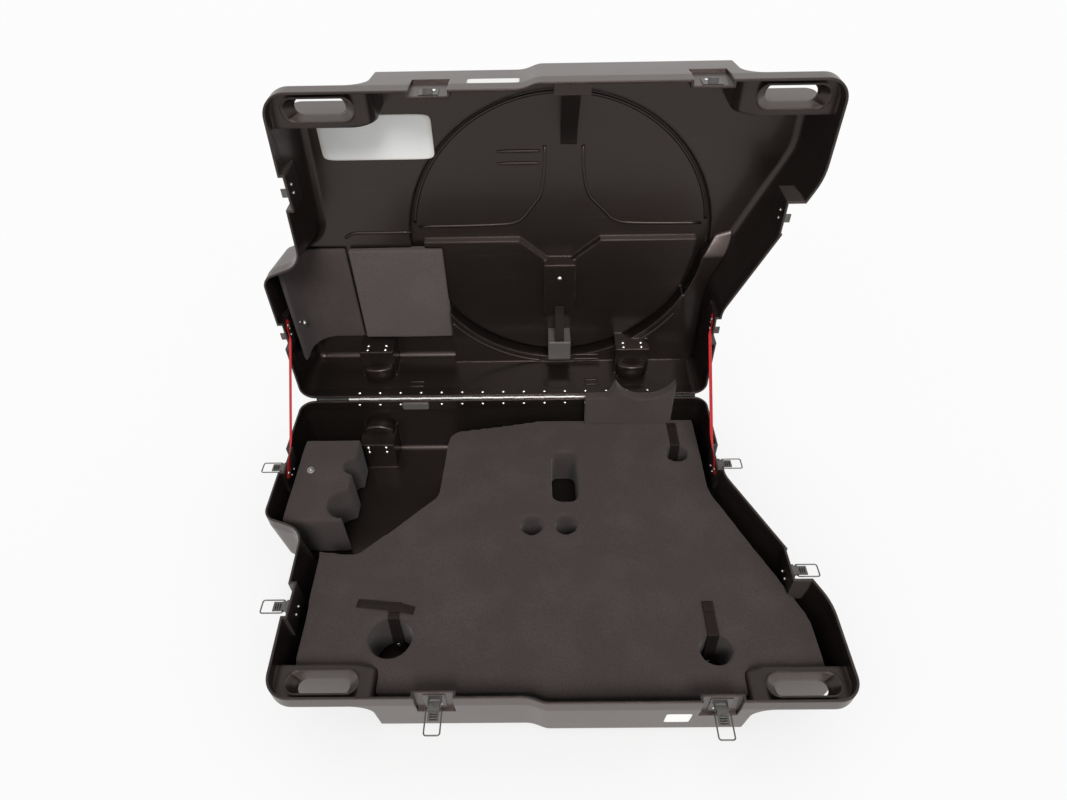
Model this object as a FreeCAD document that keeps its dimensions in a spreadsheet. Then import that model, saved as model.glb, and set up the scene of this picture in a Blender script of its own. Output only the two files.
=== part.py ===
import FreeCAD, Part
import Sketcher
import math
import os

Vector = FreeCAD.Vector
Rotation = FreeCAD.Rotation
Placement = FreeCAD.Placement

# Driving sizes in millimetres, angles in degrees and plain counts
SIZES = [
    # The two shells
    ("case_length", 1294),
    ("case_width", 852),
    ("half_depth", 180),
    ("wall", 5),
    ("draft_angle", 7),
    ("rim_band", 32),
    ("floor_fillet", 22),
    ("rim_gap", 0.5),
    ("overrun", 20),
    ("touch_gap", 0.05),
    ("soft_gap", 0.3),
    # The outline of both shells, seen from the rim
    ("waist_inset", 159),
    ("waist_start", 285),
    ("hip_inset", 212),
    ("front_left_inset", 117),
    ("armpit_inset", 102),
    ("shoulder_start", 402),
    ("shoulder_end", 440),
    ("front_step", 12),
    ("step_place", 11),
    ("step_run", 32),
    ("hinge_corner_radius", 38),
    ("waist_radius", 70),
    ("hip_radius", 150),
    ("front_right_radius", 50),
    ("step_radius", 60),
    ("front_left_radius", 55),
    ("armpit_radius", 55),
    ("shoulder_radius", 40),
    ("least_bend", 8),
    # The round wheel well and the raised floors inside the lid
    ("panel_rise", 14),
    ("well_place", 80),
    ("well_shift", 28),
    ("well_margin", 36),
    ("well_fillet", 10),
    ("ledge_inset", 45),
    ("ledge_rise", 20),
    ("dip_width", 218),
    ("dip_drop", 60),
    ("hub_width", 74),
    ("hub_length", 150),
    ("hub_rise", 42),
    ("platform_left", 215),
    ("platform_right", 430),
    ("platform_reach", 240),
    ("platform_rise", 45),
    ("platform_inset", 22),
    # The hand holes at the two front corners
    ("corner_depth", 36),
    ("corner_curve", 45),
    ("corner_left_length", 209),
    ("corner_right_length", 207),
    ("corner_width", 80),
    ("hand_left_place", 109),
    ("hand_right_place", 105),
    ("hand_reach", 41),
    ("hand_length", 105),
    ("hand_width", 34),
    ("mouth_length", 146),
    ("mouth_width", 46),
    ("mouth_depth", 12),
    ("mouth_wall", 4),
    # The piano hinge
    ("knuckle_length", 58),
    ("hinge_count", 15),
    ("leaf_width", 25),
    ("leaf_thickness", 1.5),
    ("knuckle_radius", 4),
    ("knuckle_gap", 0.4),
    ("pin_radius", 2),
    ("pin_clearance", 0.05),
    ("pin_offset", 4.3),
    ("rivet_line", 15),
    ("rivet_radius", 4.5),
    ("rivet_height", 3),
    # The draw latches and their keepers
    ("recess_width", 78),
    ("recess_depth", 12),
    ("recess_height", 72),
    ("hip_recess_depth", 4),
    ("near_left_place", 220),
    ("far_left_inset", 230),
    ("near_right_place", 223),
    ("far_right_inset", 309),
    ("front_left_latch", 455),
    ("front_right_latch", 274),
    ("plate_width", 44),
    ("plate_low", 62),
    ("plate_high", 8),
    ("plate_thickness", 2),
    ("cheek_thickness", 2),
    ("cheek_gap", 0.4),
    ("cheek_half", 5),
    ("pivot_out", 10),
    ("pivot_drop", 30),
    ("pivot_radius", 2),
    ("lever_width", 22),
    ("lever_length", 34),
    ("lever_root", 4),
    ("lever_thickness", 3),
    ("bail_throw", 10),
    ("bail_length", 50),
    ("bail_wire", 3),
    ("bail_gap", 0.8),
    ("bail_bend", 5),
    ("keeper_width", 40),
    ("keeper_low", 5),
    ("keeper_high", 36),
    ("keeper_tab_width", 20),
    ("keeper_tab_reach", 14),
    ("keeper_tab_thickness", 3),
    ("rivet_spread", 10),
    ("latch_rivet_drop", 48),
    ("keeper_rivet_rise", 28),
    # The casters on the hinge edge
    ("caster_left_place", 212),
    ("caster_right_place", 203),
    ("caster_rise", 58),
    ("caster_pad_reach", 92),
    ("pocket_half", 42),
    ("pocket_over", 34),
    ("arch_half", 34),
    ("arch_radius", 48),
    ("axle_reach", 17),
    ("axle_radius", 4),
    ("axle_clearance", 0.05),
    ("axle_end", 3),
    ("tread_radius", 35),
    ("tread_width", 24),
    ("tread_fillet", 6),
    ("fork_length", 70),
    ("fork_width", 64),
    ("fork_sheet", 3),
    ("fork_gap", 1.5),
    ("fork_half", 11),
    ("screw_spread", 25),
    ("screw_shift", 19),
    ("screw_stagger", 9),
    ("screw_radius", 5),
    ("screw_height", 3.5),
    # The red stays between the shells
    ("stay_shift", 24),
    ("stay_depth", 22),
    ("stay_width", 18),
    ("stay_thickness", 1.6),
    ("stay_end", 14),
    ("stud_radius", 6),
    ("stud_height", 3),
    # The foam in the base
    ("foam_height", 125),
    ("foam_inset", 34),
    ("bay_right", 667),
    ("bay_corner", 419),
    ("bay_corner_reach", 75),
    ("bay_waist", 407),
    ("bay_waist_reach", 300),
    ("bay_foot", 228),
    ("bay_foot_reach", 473),
    ("bay_radius", 40),
    ("fork_hole_place", 341),
    ("fork_hole_inset", 169),
    ("fork_hole_radius", 47),
    ("twin_hole_place", 42),
    ("twin_hole_half", 42),
    ("twin_hole_reach", 390),
    ("twin_hole_radius", 28),
    ("slot_place", 86),
    ("slot_reach", 235),
    ("slot_length", 165),
    ("slot_width", 66),
    ("slot_radius", 20),
    ("stay_hole_place", 255),
    ("stay_hole_inset", 136),
    ("stay_hole_radius", 34),
    ("seat_hole_place", 98),
    ("seat_hole_reach", 160),
    ("seat_hole_radius", 30),
    ("bar_foam_height", 140),
    ("bar_foam_inset", 28),
    ("bar_foam_width", 150),
    ("bar_foam_clear", 15),
    ("bar_foam_end", 385),
    ("bar_bite_radius", 45),
    ("bar_bite_reach", 330),
    ("cable_bite_radius", 28),
    ("cable_bite_reach", 205),
    ("saddle_left", 341),
    ("saddle_step", 260),
    ("saddle_step_run", 20),
    ("saddle_right", 100),
    ("saddle_start", 22),
    ("saddle_thickness", 30),
    ("saddle_low_rise", 45),
    ("saddle_high_rise", 96),
    ("saddle_dip", 56),
    # The foam in the lid
    ("liner_thickness", 12),
    ("liner_clear", 5),
    ("liner_end", 390),
    ("liner_top", 45),
    ("liner_bend", 72),
    ("liner_floor", 78),
    ("pad_gap", 7),
    ("pad_width", 246),
    ("pad_clear", 5),
    ("pad_end", 388),
    ("pad_thickness", 18),
    # The webbing straps
    ("strap_thickness", 2),
    ("wheel_strap_width", 38),
    ("wheel_strap_place", 98),
    ("wheel_strap_inset", 202),
    ("anchor_width", 76),
    ("anchor_drop", 26),
    ("anchor_top", 34),
    ("anchor_bottom", 96),
    ("hub_strap_width", 25),
    ("block_width", 62),
    ("block_length", 62),
    ("block_start", 58),
    ("block_top", 88),
    ("frame_strap_width", 25),
    ("frame_strap_length", 76),
    ("frame_strap_drop", 60),
]

doc = FreeCAD.newDocument("bike_travel_case")
sheet = doc.addObject("Spreadsheet::Sheet", "sizes")
for row, (alias, amount) in enumerate(SIZES, start=1):
    sheet.set(f"A{row}", alias)
    sheet.set(f"B{row}", str(amount))
    sheet.setAlias(f"B{row}", alias)
doc.recompute()


class Sizes:
    """The driving sizes, read from the sheet by name."""

    def __getattr__(self, name):
        return float(getattr(sheet, name))


size = Sizes()
nodes = []


class Half:
    """One half of the case: places are x along the hinge, reach from the hinge and depth from the rim."""

    def __init__(self, name, facing, placement):
        self.name = name
        self.facing = facing
        self.placement = placement

    def point(self, x, reach, depth):
        return Vector(x, self.facing * reach, -depth)

    def block(self, left, right, near, far, top, bottom):
        """A box between two places each way."""
        low = self.point(left, near if self.facing > 0 else far, bottom)
        return Part.makeBox(right - left, far - near, bottom - top, low)

    def cylinder(self, x, reach, radius, top, bottom):
        """A cylinder that stands square to the rim."""
        return Part.makeCylinder(radius, bottom - top, self.point(x, reach, bottom))

    def prism(self, corners, top, bottom):
        """A straight prism over a polygon of places."""
        points = [self.point(x, reach, bottom) for x, reach in corners]
        return Part.Face(Part.makePolygon(points + points[:1])).extrude(Vector(0, 0, bottom - top))


# Where the halves stand: the base lies on the floor and the lid is open at a right angle
HINGE_Y = size.case_width / 2
PIN = Vector(0, HINGE_Y + size.pin_offset, size.half_depth + size.rim_gap / 2)
OPEN = Placement(Vector(), Rotation(Vector(1, 0, 0), -90), PIN)
base = Half("base", -1, Placement(Vector(0, HINGE_Y, size.half_depth), Rotation()))
LID_HINGE = PIN + Vector(0, size.rim_gap / 2, size.pin_offset)
lid = Half("lid", 1, Placement(LID_HINGE, Rotation(Vector(1, 0, 0), 90)))

# Where the walls stand
LEFT = -size.case_length / 2
RIGHT = size.case_length / 2
WAIST = RIGHT - size.waist_inset
FRONT_LEFT = LEFT + size.front_left_inset
ARMPIT = LEFT + size.armpit_inset
FRONT = size.case_width
FRONT_BACK = size.case_width - size.front_step
HIP = FRONT - size.hip_inset
LEAN = math.tan(math.radians(size.draft_angle))

# The round wheel well of the lid
WELL_REACH = FRONT / 2 - size.well_shift
WELL_RADIUS = FRONT / 2 - size.well_margin
LEDGE_RADIUS = WELL_RADIUS - size.ledge_inset
PANEL_DEPTH = size.half_depth - size.panel_rise
LEDGE_DEPTH = size.half_depth - size.ledge_rise
HUB_DEPTH = size.half_depth - size.hub_rise

# The casters in both halves
CASTER_DEPTH = size.half_depth - size.caster_rise
POCKET_DEPTH = CASTER_DEPTH - size.pocket_over
CASTER_FACE = size.caster_pad_reach + size.wall

# The tops of the foam in the base, and where the foam starts beyond the casters
FOAM_TOP = size.half_depth - size.foam_height
BAR_FOAM_TOP = size.half_depth - size.bar_foam_height
BAR_FOAM_START = CASTER_FACE + size.bar_foam_clear
LINER_START = CASTER_FACE + size.liner_clear
PAD_START = CASTER_FACE + size.pad_clear


def outline_corners():
    """The corners of the rim, each with its x, its reach and its radius."""
    return [
        (LEFT, 0, size.hinge_corner_radius),
        (WAIST, 0, size.hinge_corner_radius),
        (WAIST, size.waist_start, size.waist_radius),
        (RIGHT, HIP, size.hip_radius),
        (RIGHT, FRONT, size.front_right_radius),
        (size.step_place + size.step_run / 2, FRONT, size.step_radius),
        (size.step_place - size.step_run / 2, FRONT_BACK, size.step_radius),
        (FRONT_LEFT, FRONT_BACK, size.front_left_radius),
        (ARMPIT, size.shoulder_end, size.armpit_radius),
        (LEFT, size.shoulder_start, size.shoulder_radius),
    ]


def hip_x(reach):
    """The x of the slanting right wall at a reach from the hinge."""
    share = (reach - size.waist_start) / (HIP - size.waist_start)
    return WAIST + share * size.waist_inset


def far_left_x(reach):
    """The x of the left wall beyond the shoulder at a reach from the hinge."""
    share = (reach - size.shoulder_end) / (FRONT_BACK - size.shoulder_end)
    return ARMPIT + share * (FRONT_LEFT - ARMPIT)


def rounded_wire(half, corners, inset, depth):
    """A closed wire of lines and arcs, set in from the corners by an even distance."""
    bends = []
    for index, (x, reach, radius) in enumerate(corners):
        before = Vector(*corners[index - 1][:2])
        here = Vector(x, reach)
        after = Vector(*corners[(index + 1) % len(corners)][:2])
        arrive = (here - before).normalize()
        leave = (after - here).normalize()
        turn = math.atan2(arrive.x * leave.y - arrive.y * leave.x, arrive.dot(leave))
        normals = Vector(-arrive.y - leave.y, arrive.x + leave.x)
        corner = here + normals * (inset / (1 + math.cos(turn)))
        bend = max(radius - math.copysign(inset, turn), size.least_bend)
        run = bend * math.tan(abs(turn) / 2)
        middle = corner + (leave - arrive).normalize() * (bend / math.cos(turn / 2) - bend)
        stops = (corner - arrive * run, middle, corner + leave * run)
        bends.append([half.point(stop.x, stop.y, depth) for stop in stops])
    edges = []
    for index, (first, middle, last) in enumerate(bends):
        edges.append(Part.LineSegment(bends[index - 1][2], first).toShape())
        edges.append(Part.Arc(first, middle, last).toShape())
    return Part.Wire(edges)


def pill_wire(half, x, reach, length, width, depth):
    """A closed wire of two straight sides and two half circles."""
    end = (length - width) / 2
    side = width / 2
    signs = ((-1, -1), (1, -1), (1, 1), (-1, 1))
    corners = [half.point(x + a * end, reach + b * side, depth) for a, b in signs]
    tips = [half.point(x + a * length / 2, reach, depth) for a in (-1, 1)]
    return Part.Wire([
        Part.LineSegment(corners[0], corners[1]).toShape(),
        Part.Arc(corners[1], tips[1], corners[2]).toShape(),
        Part.LineSegment(corners[2], corners[3]).toShape(),
        Part.Arc(corners[3], tips[0], corners[0]).toShape(),
    ])


def tray(half, inset, top, bottom):
    """The tapered tray between the rim and the floor, with a rounded floor edge."""
    floor = bottom - inset
    lean = LEAN * (floor - size.rim_band)
    wires = [
        rounded_wire(half, outline_corners(), inset, top),
        rounded_wire(half, outline_corners(), inset, size.rim_band),
        rounded_wire(half, outline_corners(), inset + lean, floor),
    ]
    form = Part.makeLoft(wires, True, True)
    rim = [edge for edge in form.Edges if abs(edge.CenterOfMass.z + floor) < size.touch_gap]
    return form.makeFillet(size.floor_fillet - inset, rim)


def latch_places():
    """Each latch's name, the x and reach of its seat and its outward direction (x, reach)."""
    far_left = FRONT - size.far_left_inset
    far_right = FRONT - size.far_right_inset
    low_hip = hip_x(far_right - size.recess_width / 2)
    return [
        ("near_left", LEFT + size.recess_depth, size.near_left_place, (-1, 0)),
        ("far_left", far_left_x(far_left) + size.recess_depth, far_left, (-1, 0)),
        ("near_right", WAIST - size.recess_depth, size.near_right_place, (1, 0)),
        ("far_right", low_hip - size.hip_recess_depth, far_right, (1, 0)),
        ("front_left", LEFT + size.front_left_latch, FRONT_BACK - size.recess_depth, (0, 1)),
        ("front_right", RIGHT - size.front_right_latch, FRONT - size.recess_depth, (0, 1)),
    ]


def latch_recess(half, place, grow):
    """The space in the wall in front of one latch's seat."""
    name, x, reach, (out_x, out_reach) = place
    side = size.recess_width / 2 + grow
    far = size.recess_width
    top = -size.overrun - grow
    bottom = size.recess_height + grow
    if out_x < 0:
        return half.block(x - far, x + grow, reach - side, reach + side, top, bottom)
    if out_x > 0:
        return half.block(x - grow, x + far, reach - side, reach + side, top, bottom)
    return half.block(x - side, x + side, reach - grow, reach + far, top, bottom)


def caster_places():
    """The x of the left and the right caster."""
    return [("left", LEFT + size.caster_left_place), ("right", WAIST - size.caster_right_place)]


def caster_pocket(half, x, grow):
    """The pocket in the hinge wall and the outer face that holds a caster, with its wheel arch."""
    side = size.pocket_half + grow
    top = POCKET_DEPTH - grow
    far = size.caster_pad_reach + grow
    pocket = half.block(x - side, x + side, -size.overrun, far, top, size.half_depth)
    arch_half = size.arch_half + grow
    middle = half.point(x - arch_half, size.axle_reach, CASTER_DEPTH)
    arch = Part.makeCylinder(size.arch_radius + grow, 2 * arch_half, middle, Vector(1, 0, 0))
    return pocket.fuse(arch)


def corner_pocket(half, side, grow):
    """The hollow outside a front corner that leaves the hand hole's bar, with its curved shoulder."""
    if side < 0:
        outer, front = FRONT_LEFT - size.overrun, FRONT_BACK
        inner = FRONT_LEFT + size.corner_left_length + grow
    else:
        outer, front = RIGHT + size.overrun, FRONT
        inner = RIGHT - size.corner_right_length - grow
    near = front - size.corner_width - grow
    top = size.corner_depth - grow
    curve = size.corner_curve + grow
    low = size.half_depth + size.overrun
    bend = curve * math.sqrt(0.5)
    points = {
        "bottom": half.point(inner, near, low),
        "rise": half.point(inner, near, top + curve),
        "middle": half.point(inner + side * (curve - bend), near, top + curve - bend),
        "level": half.point(inner + side * curve, near, top),
        "end": half.point(outer, near, top),
        "foot": half.point(outer, near, low),
    }
    wire = Part.Wire([
        Part.LineSegment(points["bottom"], points["rise"]).toShape(),
        Part.Arc(points["rise"], points["middle"], points["level"]).toShape(),
        Part.LineSegment(points["level"], points["end"]).toShape(),
        Part.LineSegment(points["end"], points["foot"]).toShape(),
        Part.LineSegment(points["foot"], points["bottom"]).toShape(),
    ])
    return Part.Face(wire).extrude(half.point(0, size.corner_width + grow + size.overrun, 0))


def lid_relief(half, grow):
    """The raised floors in the lid: the ledge, the hub's block and the platform by the hinge."""
    x = size.well_place
    reach = WELL_REACH
    low = size.half_depth + size.overrun
    ledge = half.cylinder(x, reach, LEDGE_RADIUS + grow, LEDGE_DEPTH - grow, low)
    ledge = ledge.common(half.block(LEFT, RIGHT, -LEDGE_RADIUS, reach + grow, 0, low))
    dip_top = size.dip_width / 2 - grow
    dip_low = size.hub_width / 2 - grow
    drop = reach - size.dip_drop + grow
    edge = reach + grow
    dip = [(x - dip_top, edge), (x - dip_low, drop), (x + dip_low, drop), (x + dip_top, edge)]
    ledge = ledge.cut(half.prism(dip, 0, low))
    hub_side = size.hub_width / 2 + grow
    hub_high = reach - size.dip_drop + grow
    hub_low = hub_high - size.hub_length - 2 * grow
    hub = half.block(x - hub_side, x + hub_side, hub_low, hub_high, HUB_DEPTH - grow, low)
    near = -size.overrun
    left, right = -size.platform_left - grow, size.platform_right + grow
    top = size.half_depth - size.platform_rise - grow
    platform = half.block(left, right, near, size.platform_reach + grow, top, low)
    platform = platform.cut(half.cylinder(x, reach, WELL_RADIUS - size.platform_inset - grow, 0, low))
    return [ledge, hub, platform]


def form(half, inset):
    """The solid form of one half, set in from its outside by an even distance."""
    top = -2 * size.overrun if inset else 0
    if half is lid:
        solid = tray(half, inset, top, PANEL_DEPTH)
        low = size.half_depth - inset
        well = half.cylinder(size.well_place, WELL_REACH, WELL_RADIUS - inset, size.rim_band, low)
        end = [edge for edge in well.Edges if abs(edge.CenterOfMass.z + low) < size.touch_gap]
        solid = solid.fuse(well.makeFillet(size.well_fillet - inset / 2, end[:1]))
        hollows = lid_relief(half, inset)
    else:
        solid = tray(half, inset, top, size.half_depth)
        hollows = []
    hollows += [latch_recess(half, place, inset) for place in latch_places()]
    hollows += [caster_pocket(half, x, inset) for name, x in caster_places()]
    hollows += [corner_pocket(half, side, inset) for side in (-1, 1)]
    return solid.cut(hollows)


def hand_places():
    """The x and reach of the middle of each hand hole."""
    left = (FRONT_LEFT + size.hand_left_place, FRONT_BACK - size.hand_reach)
    return [left, (RIGHT - size.hand_right_place, FRONT - size.hand_reach)]


def hand_hole(half, x, reach, spread, top, bottom):
    """The tapered space through a hand hole, or with a spread the outside of its collar."""
    wires = [
        pill_wire(half, x, reach, size.mouth_length + spread, size.mouth_width + spread, top),
        pill_wire(half, x, reach, size.hand_length + spread, size.hand_width + spread, bottom),
    ]
    return Part.makeLoft(wires, True, True)


def place_feature(label, shape, placement):
    """Keep a shape as one sub-part of the document."""
    feature = doc.addObject("Part::Feature", label)
    feature.Label = label
    feature.Shape = shape
    feature.Placement = placement
    nodes.append(feature)
    return feature


def make_shell(half):
    """A moulded shell of even wall, with a collar round each hand hole."""
    shell = form(half, 0).cut(form(half, size.wall))
    for x, reach in hand_places():
        collar = hand_hole(half, x, reach, 2 * size.mouth_wall, size.mouth_depth, size.corner_depth)
        space = hand_hole(half, x, reach, 0, size.mouth_depth, size.corner_depth)
        shell = shell.fuse(collar).cut(space)
    place_feature(half.name + "_shell", shell.removeSplitter(), half.placement)


def new_body(label, placement):
    """A body for one sub-part, standing at its place."""
    body = doc.addObject("PartDesign::Body", label)
    body.Label = label
    body.Placement = placement
    nodes.append(body)
    return body


def new_sketch(body, name, role, height="0"):
    """A sketch on one of the body's own planes, raised by a formula."""
    sketch = body.newObject("Sketcher::SketchObject", f"{body.Label}_{name}_sketch")
    plane = [feature for feature in body.Origin.OriginFeatures if feature.Role == role][0]
    sketch.AttachmentSupport = [(plane, "")]
    sketch.MapMode = "FlatFace"
    sketch.setExpression("AttachmentOffset.Base.z", height)
    return sketch


def draw_rectangle(sketch, left, right, low, high):
    """A rectangle whose sides stand at the given formulas."""
    first = sketch.GeometryCount
    corners = [Vector(-1, -1), Vector(1, -1), Vector(1, 1), Vector(-1, 1)]
    for start, end in zip(corners, corners[1:] + corners[:1]):
        sketch.addGeometry(Part.LineSegment(start, end))
    for side, way in enumerate(("Horizontal", "Vertical", "Horizontal", "Vertical")):
        after = first + (side + 1) % 4
        sketch.addConstraint(Sketcher.Constraint("Coincident", first + side, 2, after, 1))
        sketch.addConstraint(Sketcher.Constraint(way, first + side))
    rules = [(0, "DistanceX", -1, left), (0, "DistanceY", -1, low)]
    rules += [(2, "DistanceX", 1, right), (2, "DistanceY", 1, high)]
    for line, way, start, formula in rules:
        number = sketch.addConstraint(Sketcher.Constraint(way, -1, 1, first + line, 1, start))
        sketch.setExpression(f"Constraints[{number}]", formula)


def draw_circle(sketch, across, up, radius):
    """A circle whose middle and radius follow the given formulas."""
    circle = sketch.addGeometry(Part.Circle(Vector(1, 1), Vector(0, 0, 1), 1))
    rules = (("DistanceX", across), ("DistanceY", up))
    for way, formula in rules:
        number = sketch.addConstraint(Sketcher.Constraint(way, -1, 1, circle, 3, 1))
        sketch.setExpression(f"Constraints[{number}]", formula)
    number = sketch.addConstraint(Sketcher.Constraint("Radius", circle, 1))
    sketch.setExpression(f"Constraints[{number}]", radius)


def extrude(body, kind, sketch, length):
    """Pad or pocket a sketch along its normal by a formula."""
    feature = body.newObject("PartDesign::" + kind, sketch.Name.replace("sketch", kind.lower()))
    feature.Profile = sketch
    feature.setExpression("Length", length)
    return feature


def pad_box(body, name, role, height, length, left, right, low, high):
    """Pad a rectangle from a raised plane."""
    sketch = new_sketch(body, name, role, height)
    draw_rectangle(sketch, left, right, low, high)
    return extrude(body, "Pad", sketch, length)


def repeat(body, feature, axis, pitch, count):
    """Repeat a feature along one of the body's axes."""
    pattern = body.newObject("PartDesign::LinearPattern", feature.Name + "_row")
    pattern.Originals = [feature]
    pattern.Direction = ([line for line in body.Origin.OriginFeatures if line.Role == axis][0], [""])
    pattern.Mode = "Spacing"
    pattern.setExpression("Offset", pitch)
    pattern.setExpression("Occurrences", count)
    body.Tip = pattern
    return pattern


def make_hinge_leaf(label, placement):
    """One leaf of the piano hinge: a strip and a row of knuckles on the pin's line."""
    body = new_body(label, placement)
    length = "sizes.knuckle_length * sizes.hinge_count"
    start = "sizes.knuckle_radius + sizes.knuckle_gap"
    height, thick, width = "-sizes.pin_offset", "sizes.leaf_thickness", "sizes.leaf_width"
    pad_box(body, "strip", "XY_Plane", height, thick, "0", length, start, width)
    own = "sizes.knuckle_length / 2 - sizes.knuckle_gap"
    tab = pad_box(body, "tab", "XY_Plane", height, thick, "0", own, "0", width)
    tab_row = repeat(body, tab, "X_Axis", "sizes.knuckle_length", "sizes.hinge_count")
    sketch = new_sketch(body, "knuckle", "YZ_Plane")
    draw_circle(sketch, "0", "0", "sizes.knuckle_radius")
    knuckle = extrude(body, "Pad", sketch, own)
    knuckle_row = repeat(body, knuckle, "X_Axis", "sizes.knuckle_length", "sizes.hinge_count")
    bore = new_sketch(body, "bore", "YZ_Plane")
    draw_circle(bore, "0", "0", "sizes.pin_radius + sizes.pin_clearance")
    pocket = extrude(body, "Pocket", bore, length)
    pocket.Reversed = True
    body.Tip = pocket


def make_hinge():
    """The piano hinge outside the hinge walls: two leaves on one pin."""
    middle = (LEFT + WAIST) / 2
    run = size.knuckle_length * size.hinge_count / 2
    down = Placement(PIN + Vector(middle - run, 0, 0), Rotation(Vector(1, 0, 0), -90))
    make_hinge_leaf("base_hinge_leaf", down)
    back = Placement(PIN + Vector(middle + run, 0, 0), Rotation(Vector(0, 1, 0), 180))
    make_hinge_leaf("lid_hinge_leaf", back)
    pin = doc.addObject("Part::Cylinder", "hinge_pin")
    pin.setExpression("Radius", "sizes.pin_radius")
    pin.setExpression("Height", "sizes.knuckle_length * sizes.hinge_count")
    pin.Placement = Placement(PIN + Vector(middle - run, 0, 0), Rotation(Vector(0, 1, 0), 90))
    nodes.append(pin)
    for half in (base, lid):
        heads = []
        for index in range(int(size.hinge_count)):
            x = middle - run + (index + 0.5) * size.knuckle_length
            seat = half.point(x, size.wall, size.rivet_line)
            heads.append(dome(seat, half.point(0, 1, 0), size.rivet_radius, size.rivet_height))
        place_feature(half.name + "_hinge_rivets", Part.makeCompound(heads), half.placement)


def dome(seat, way, radius, height):
    """A rivet's domed head on its seat, facing a way."""
    ball = (radius ** 2 + height ** 2) / (2 * height)
    flat = math.degrees(math.asin((ball - height) / ball))
    head = Part.makeSphere(ball, Vector(0, 0, height - ball), Vector(0, 0, 1), flat, 90, 360)
    head.Placement = Placement(seat, Rotation(Vector(0, 0, 1), way))
    return head


def latch_frame(place):
    """A latch's own frame with the case shut: x along the wall, y outward, z up from the pin's height."""
    name, x, reach, (out_x, out_reach) = place
    turn = math.degrees(math.atan2(-out_x, -out_reach))
    return Placement(Vector(x, HINGE_Y - reach, PIN.z), Rotation(Vector(0, 0, 1), turn))


def make_latch_plate(label, placement):
    """The plate on the wall with two cheeks that hold the lever's pin."""
    body = new_body(label, placement)
    side = "sizes.plate_width / 2"
    thick = "sizes.plate_thickness"
    low, high = "-sizes.plate_low", "-sizes.plate_high"
    pad_box(body, "plate", "XZ_Plane", "-" + thick, thick, "-" + side, side, low, high)
    near = "sizes.lever_width / 2 + sizes.cheek_gap"
    low, high = "-sizes.pivot_drop - sizes.cheek_half", "-sizes.pivot_drop + sizes.cheek_half"
    for name, place in (("left", f"-({near}) - sizes.cheek_thickness"), ("right", near)):
        reach = "sizes.pivot_out + sizes.cheek_half"
        pad_box(body, name, "YZ_Plane", place, "sizes.cheek_thickness", "0", reach, low, high)
    sketch = new_sketch(body, "pin", "YZ_Plane", f"-({near})")
    draw_circle(sketch, "sizes.pivot_out", "-sizes.pivot_drop", "sizes.pivot_radius")
    extrude(body, "Pad", sketch, f"2 * ({near})")


def make_lever(label, placement):
    """The lever that swings on the plate's pin and carries the bail in a second bore."""
    body = new_body(label, placement)
    side, root = "-sizes.lever_width / 2", "sizes.lever_root"
    sketch = new_sketch(body, "root", "YZ_Plane", side)
    draw_rectangle(sketch, "-" + root, "sizes.bail_throw + " + root, "-" + root, root)
    draw_circle(sketch, "0", "0", "sizes.pivot_radius + sizes.pin_clearance")
    draw_circle(sketch, "sizes.bail_throw", "0", "sizes.bail_wire / 2 + sizes.pin_clearance")
    extrude(body, "Pad", sketch, "sizes.lever_width")
    thick = "sizes.lever_thickness / 2"
    near, far = "sizes.bail_throw + " + root, "sizes.lever_length"
    pad_box(body, "arm", "YZ_Plane", side, "sizes.lever_width", near, far, "-" + thick, thick)


def bail_shape():
    """A closed loop of round wire: the near bar runs through the lever, the far bar hooks the keeper."""
    wire = size.bail_wire
    side = size.lever_width / 2 + size.cheek_gap + size.cheek_thickness + size.bail_gap + wire / 2
    bend = size.bail_bend
    arc = bend * (1 - math.sqrt(0.5))
    far = size.bail_length
    corners = ((side, 0, -1, 1), (side, far, -1, -1), (-side, far, 1, -1), (-side, 0, 1, 1))
    stops = []
    for x, y, in_x, in_y in corners:
        along_x, along_y = Vector(x + in_x * bend, y), Vector(x, y + in_y * bend)
        middle = Vector(x + in_x * arc, y + in_y * arc)
        stops.append((along_x, middle, along_y) if x * in_y > 0 else (along_y, middle, along_x))
    edges = []
    for index, (first, middle, last) in enumerate(stops):
        edges.append(Part.Arc(first, middle, last).toShape())
        edges.append(Part.LineSegment(last, stops[(index + 1) % len(stops)][0]).toShape())
    path = Part.Wire(Part.__sortEdges__(edges))
    start = path.Edges[0].valueAt(path.Edges[0].FirstParameter)
    way = path.Edges[0].tangentAt(path.Edges[0].FirstParameter)
    ring = Part.Wire(Part.makeCircle(wire / 2, start, way))
    return path.makePipeShell([ring], True, False)


def make_keeper(label, placement):
    """The keeper on the lid: a plate with a tab that the bail pulls down on."""
    body = new_body(label, placement)
    side, thick = "sizes.keeper_width / 2", "sizes.plate_thickness"
    low, high = "sizes.keeper_low", "sizes.keeper_high"
    pad_box(body, "plate", "XZ_Plane", "-" + thick, thick, "-" + side, side, low, high)
    side, reach = "sizes.keeper_tab_width / 2", "sizes.keeper_tab_reach"
    top = low + " + sizes.keeper_tab_thickness"
    pad_box(body, "tab", "XZ_Plane", "-" + reach, reach, "-" + side, side, low, top)


def wall_rivets(height, frame):
    """The pair of rivet heads inside the wall behind a latch or a keeper."""
    heads = []
    for side in (-1, 1):
        seat = Vector(side * size.rivet_spread, -size.wall, height)
        head = dome(seat, Vector(0, -1, 0), size.rivet_radius, size.rivet_height)
        heads.append(head.transformed(frame.toMatrix(), True))
    return heads


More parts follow.
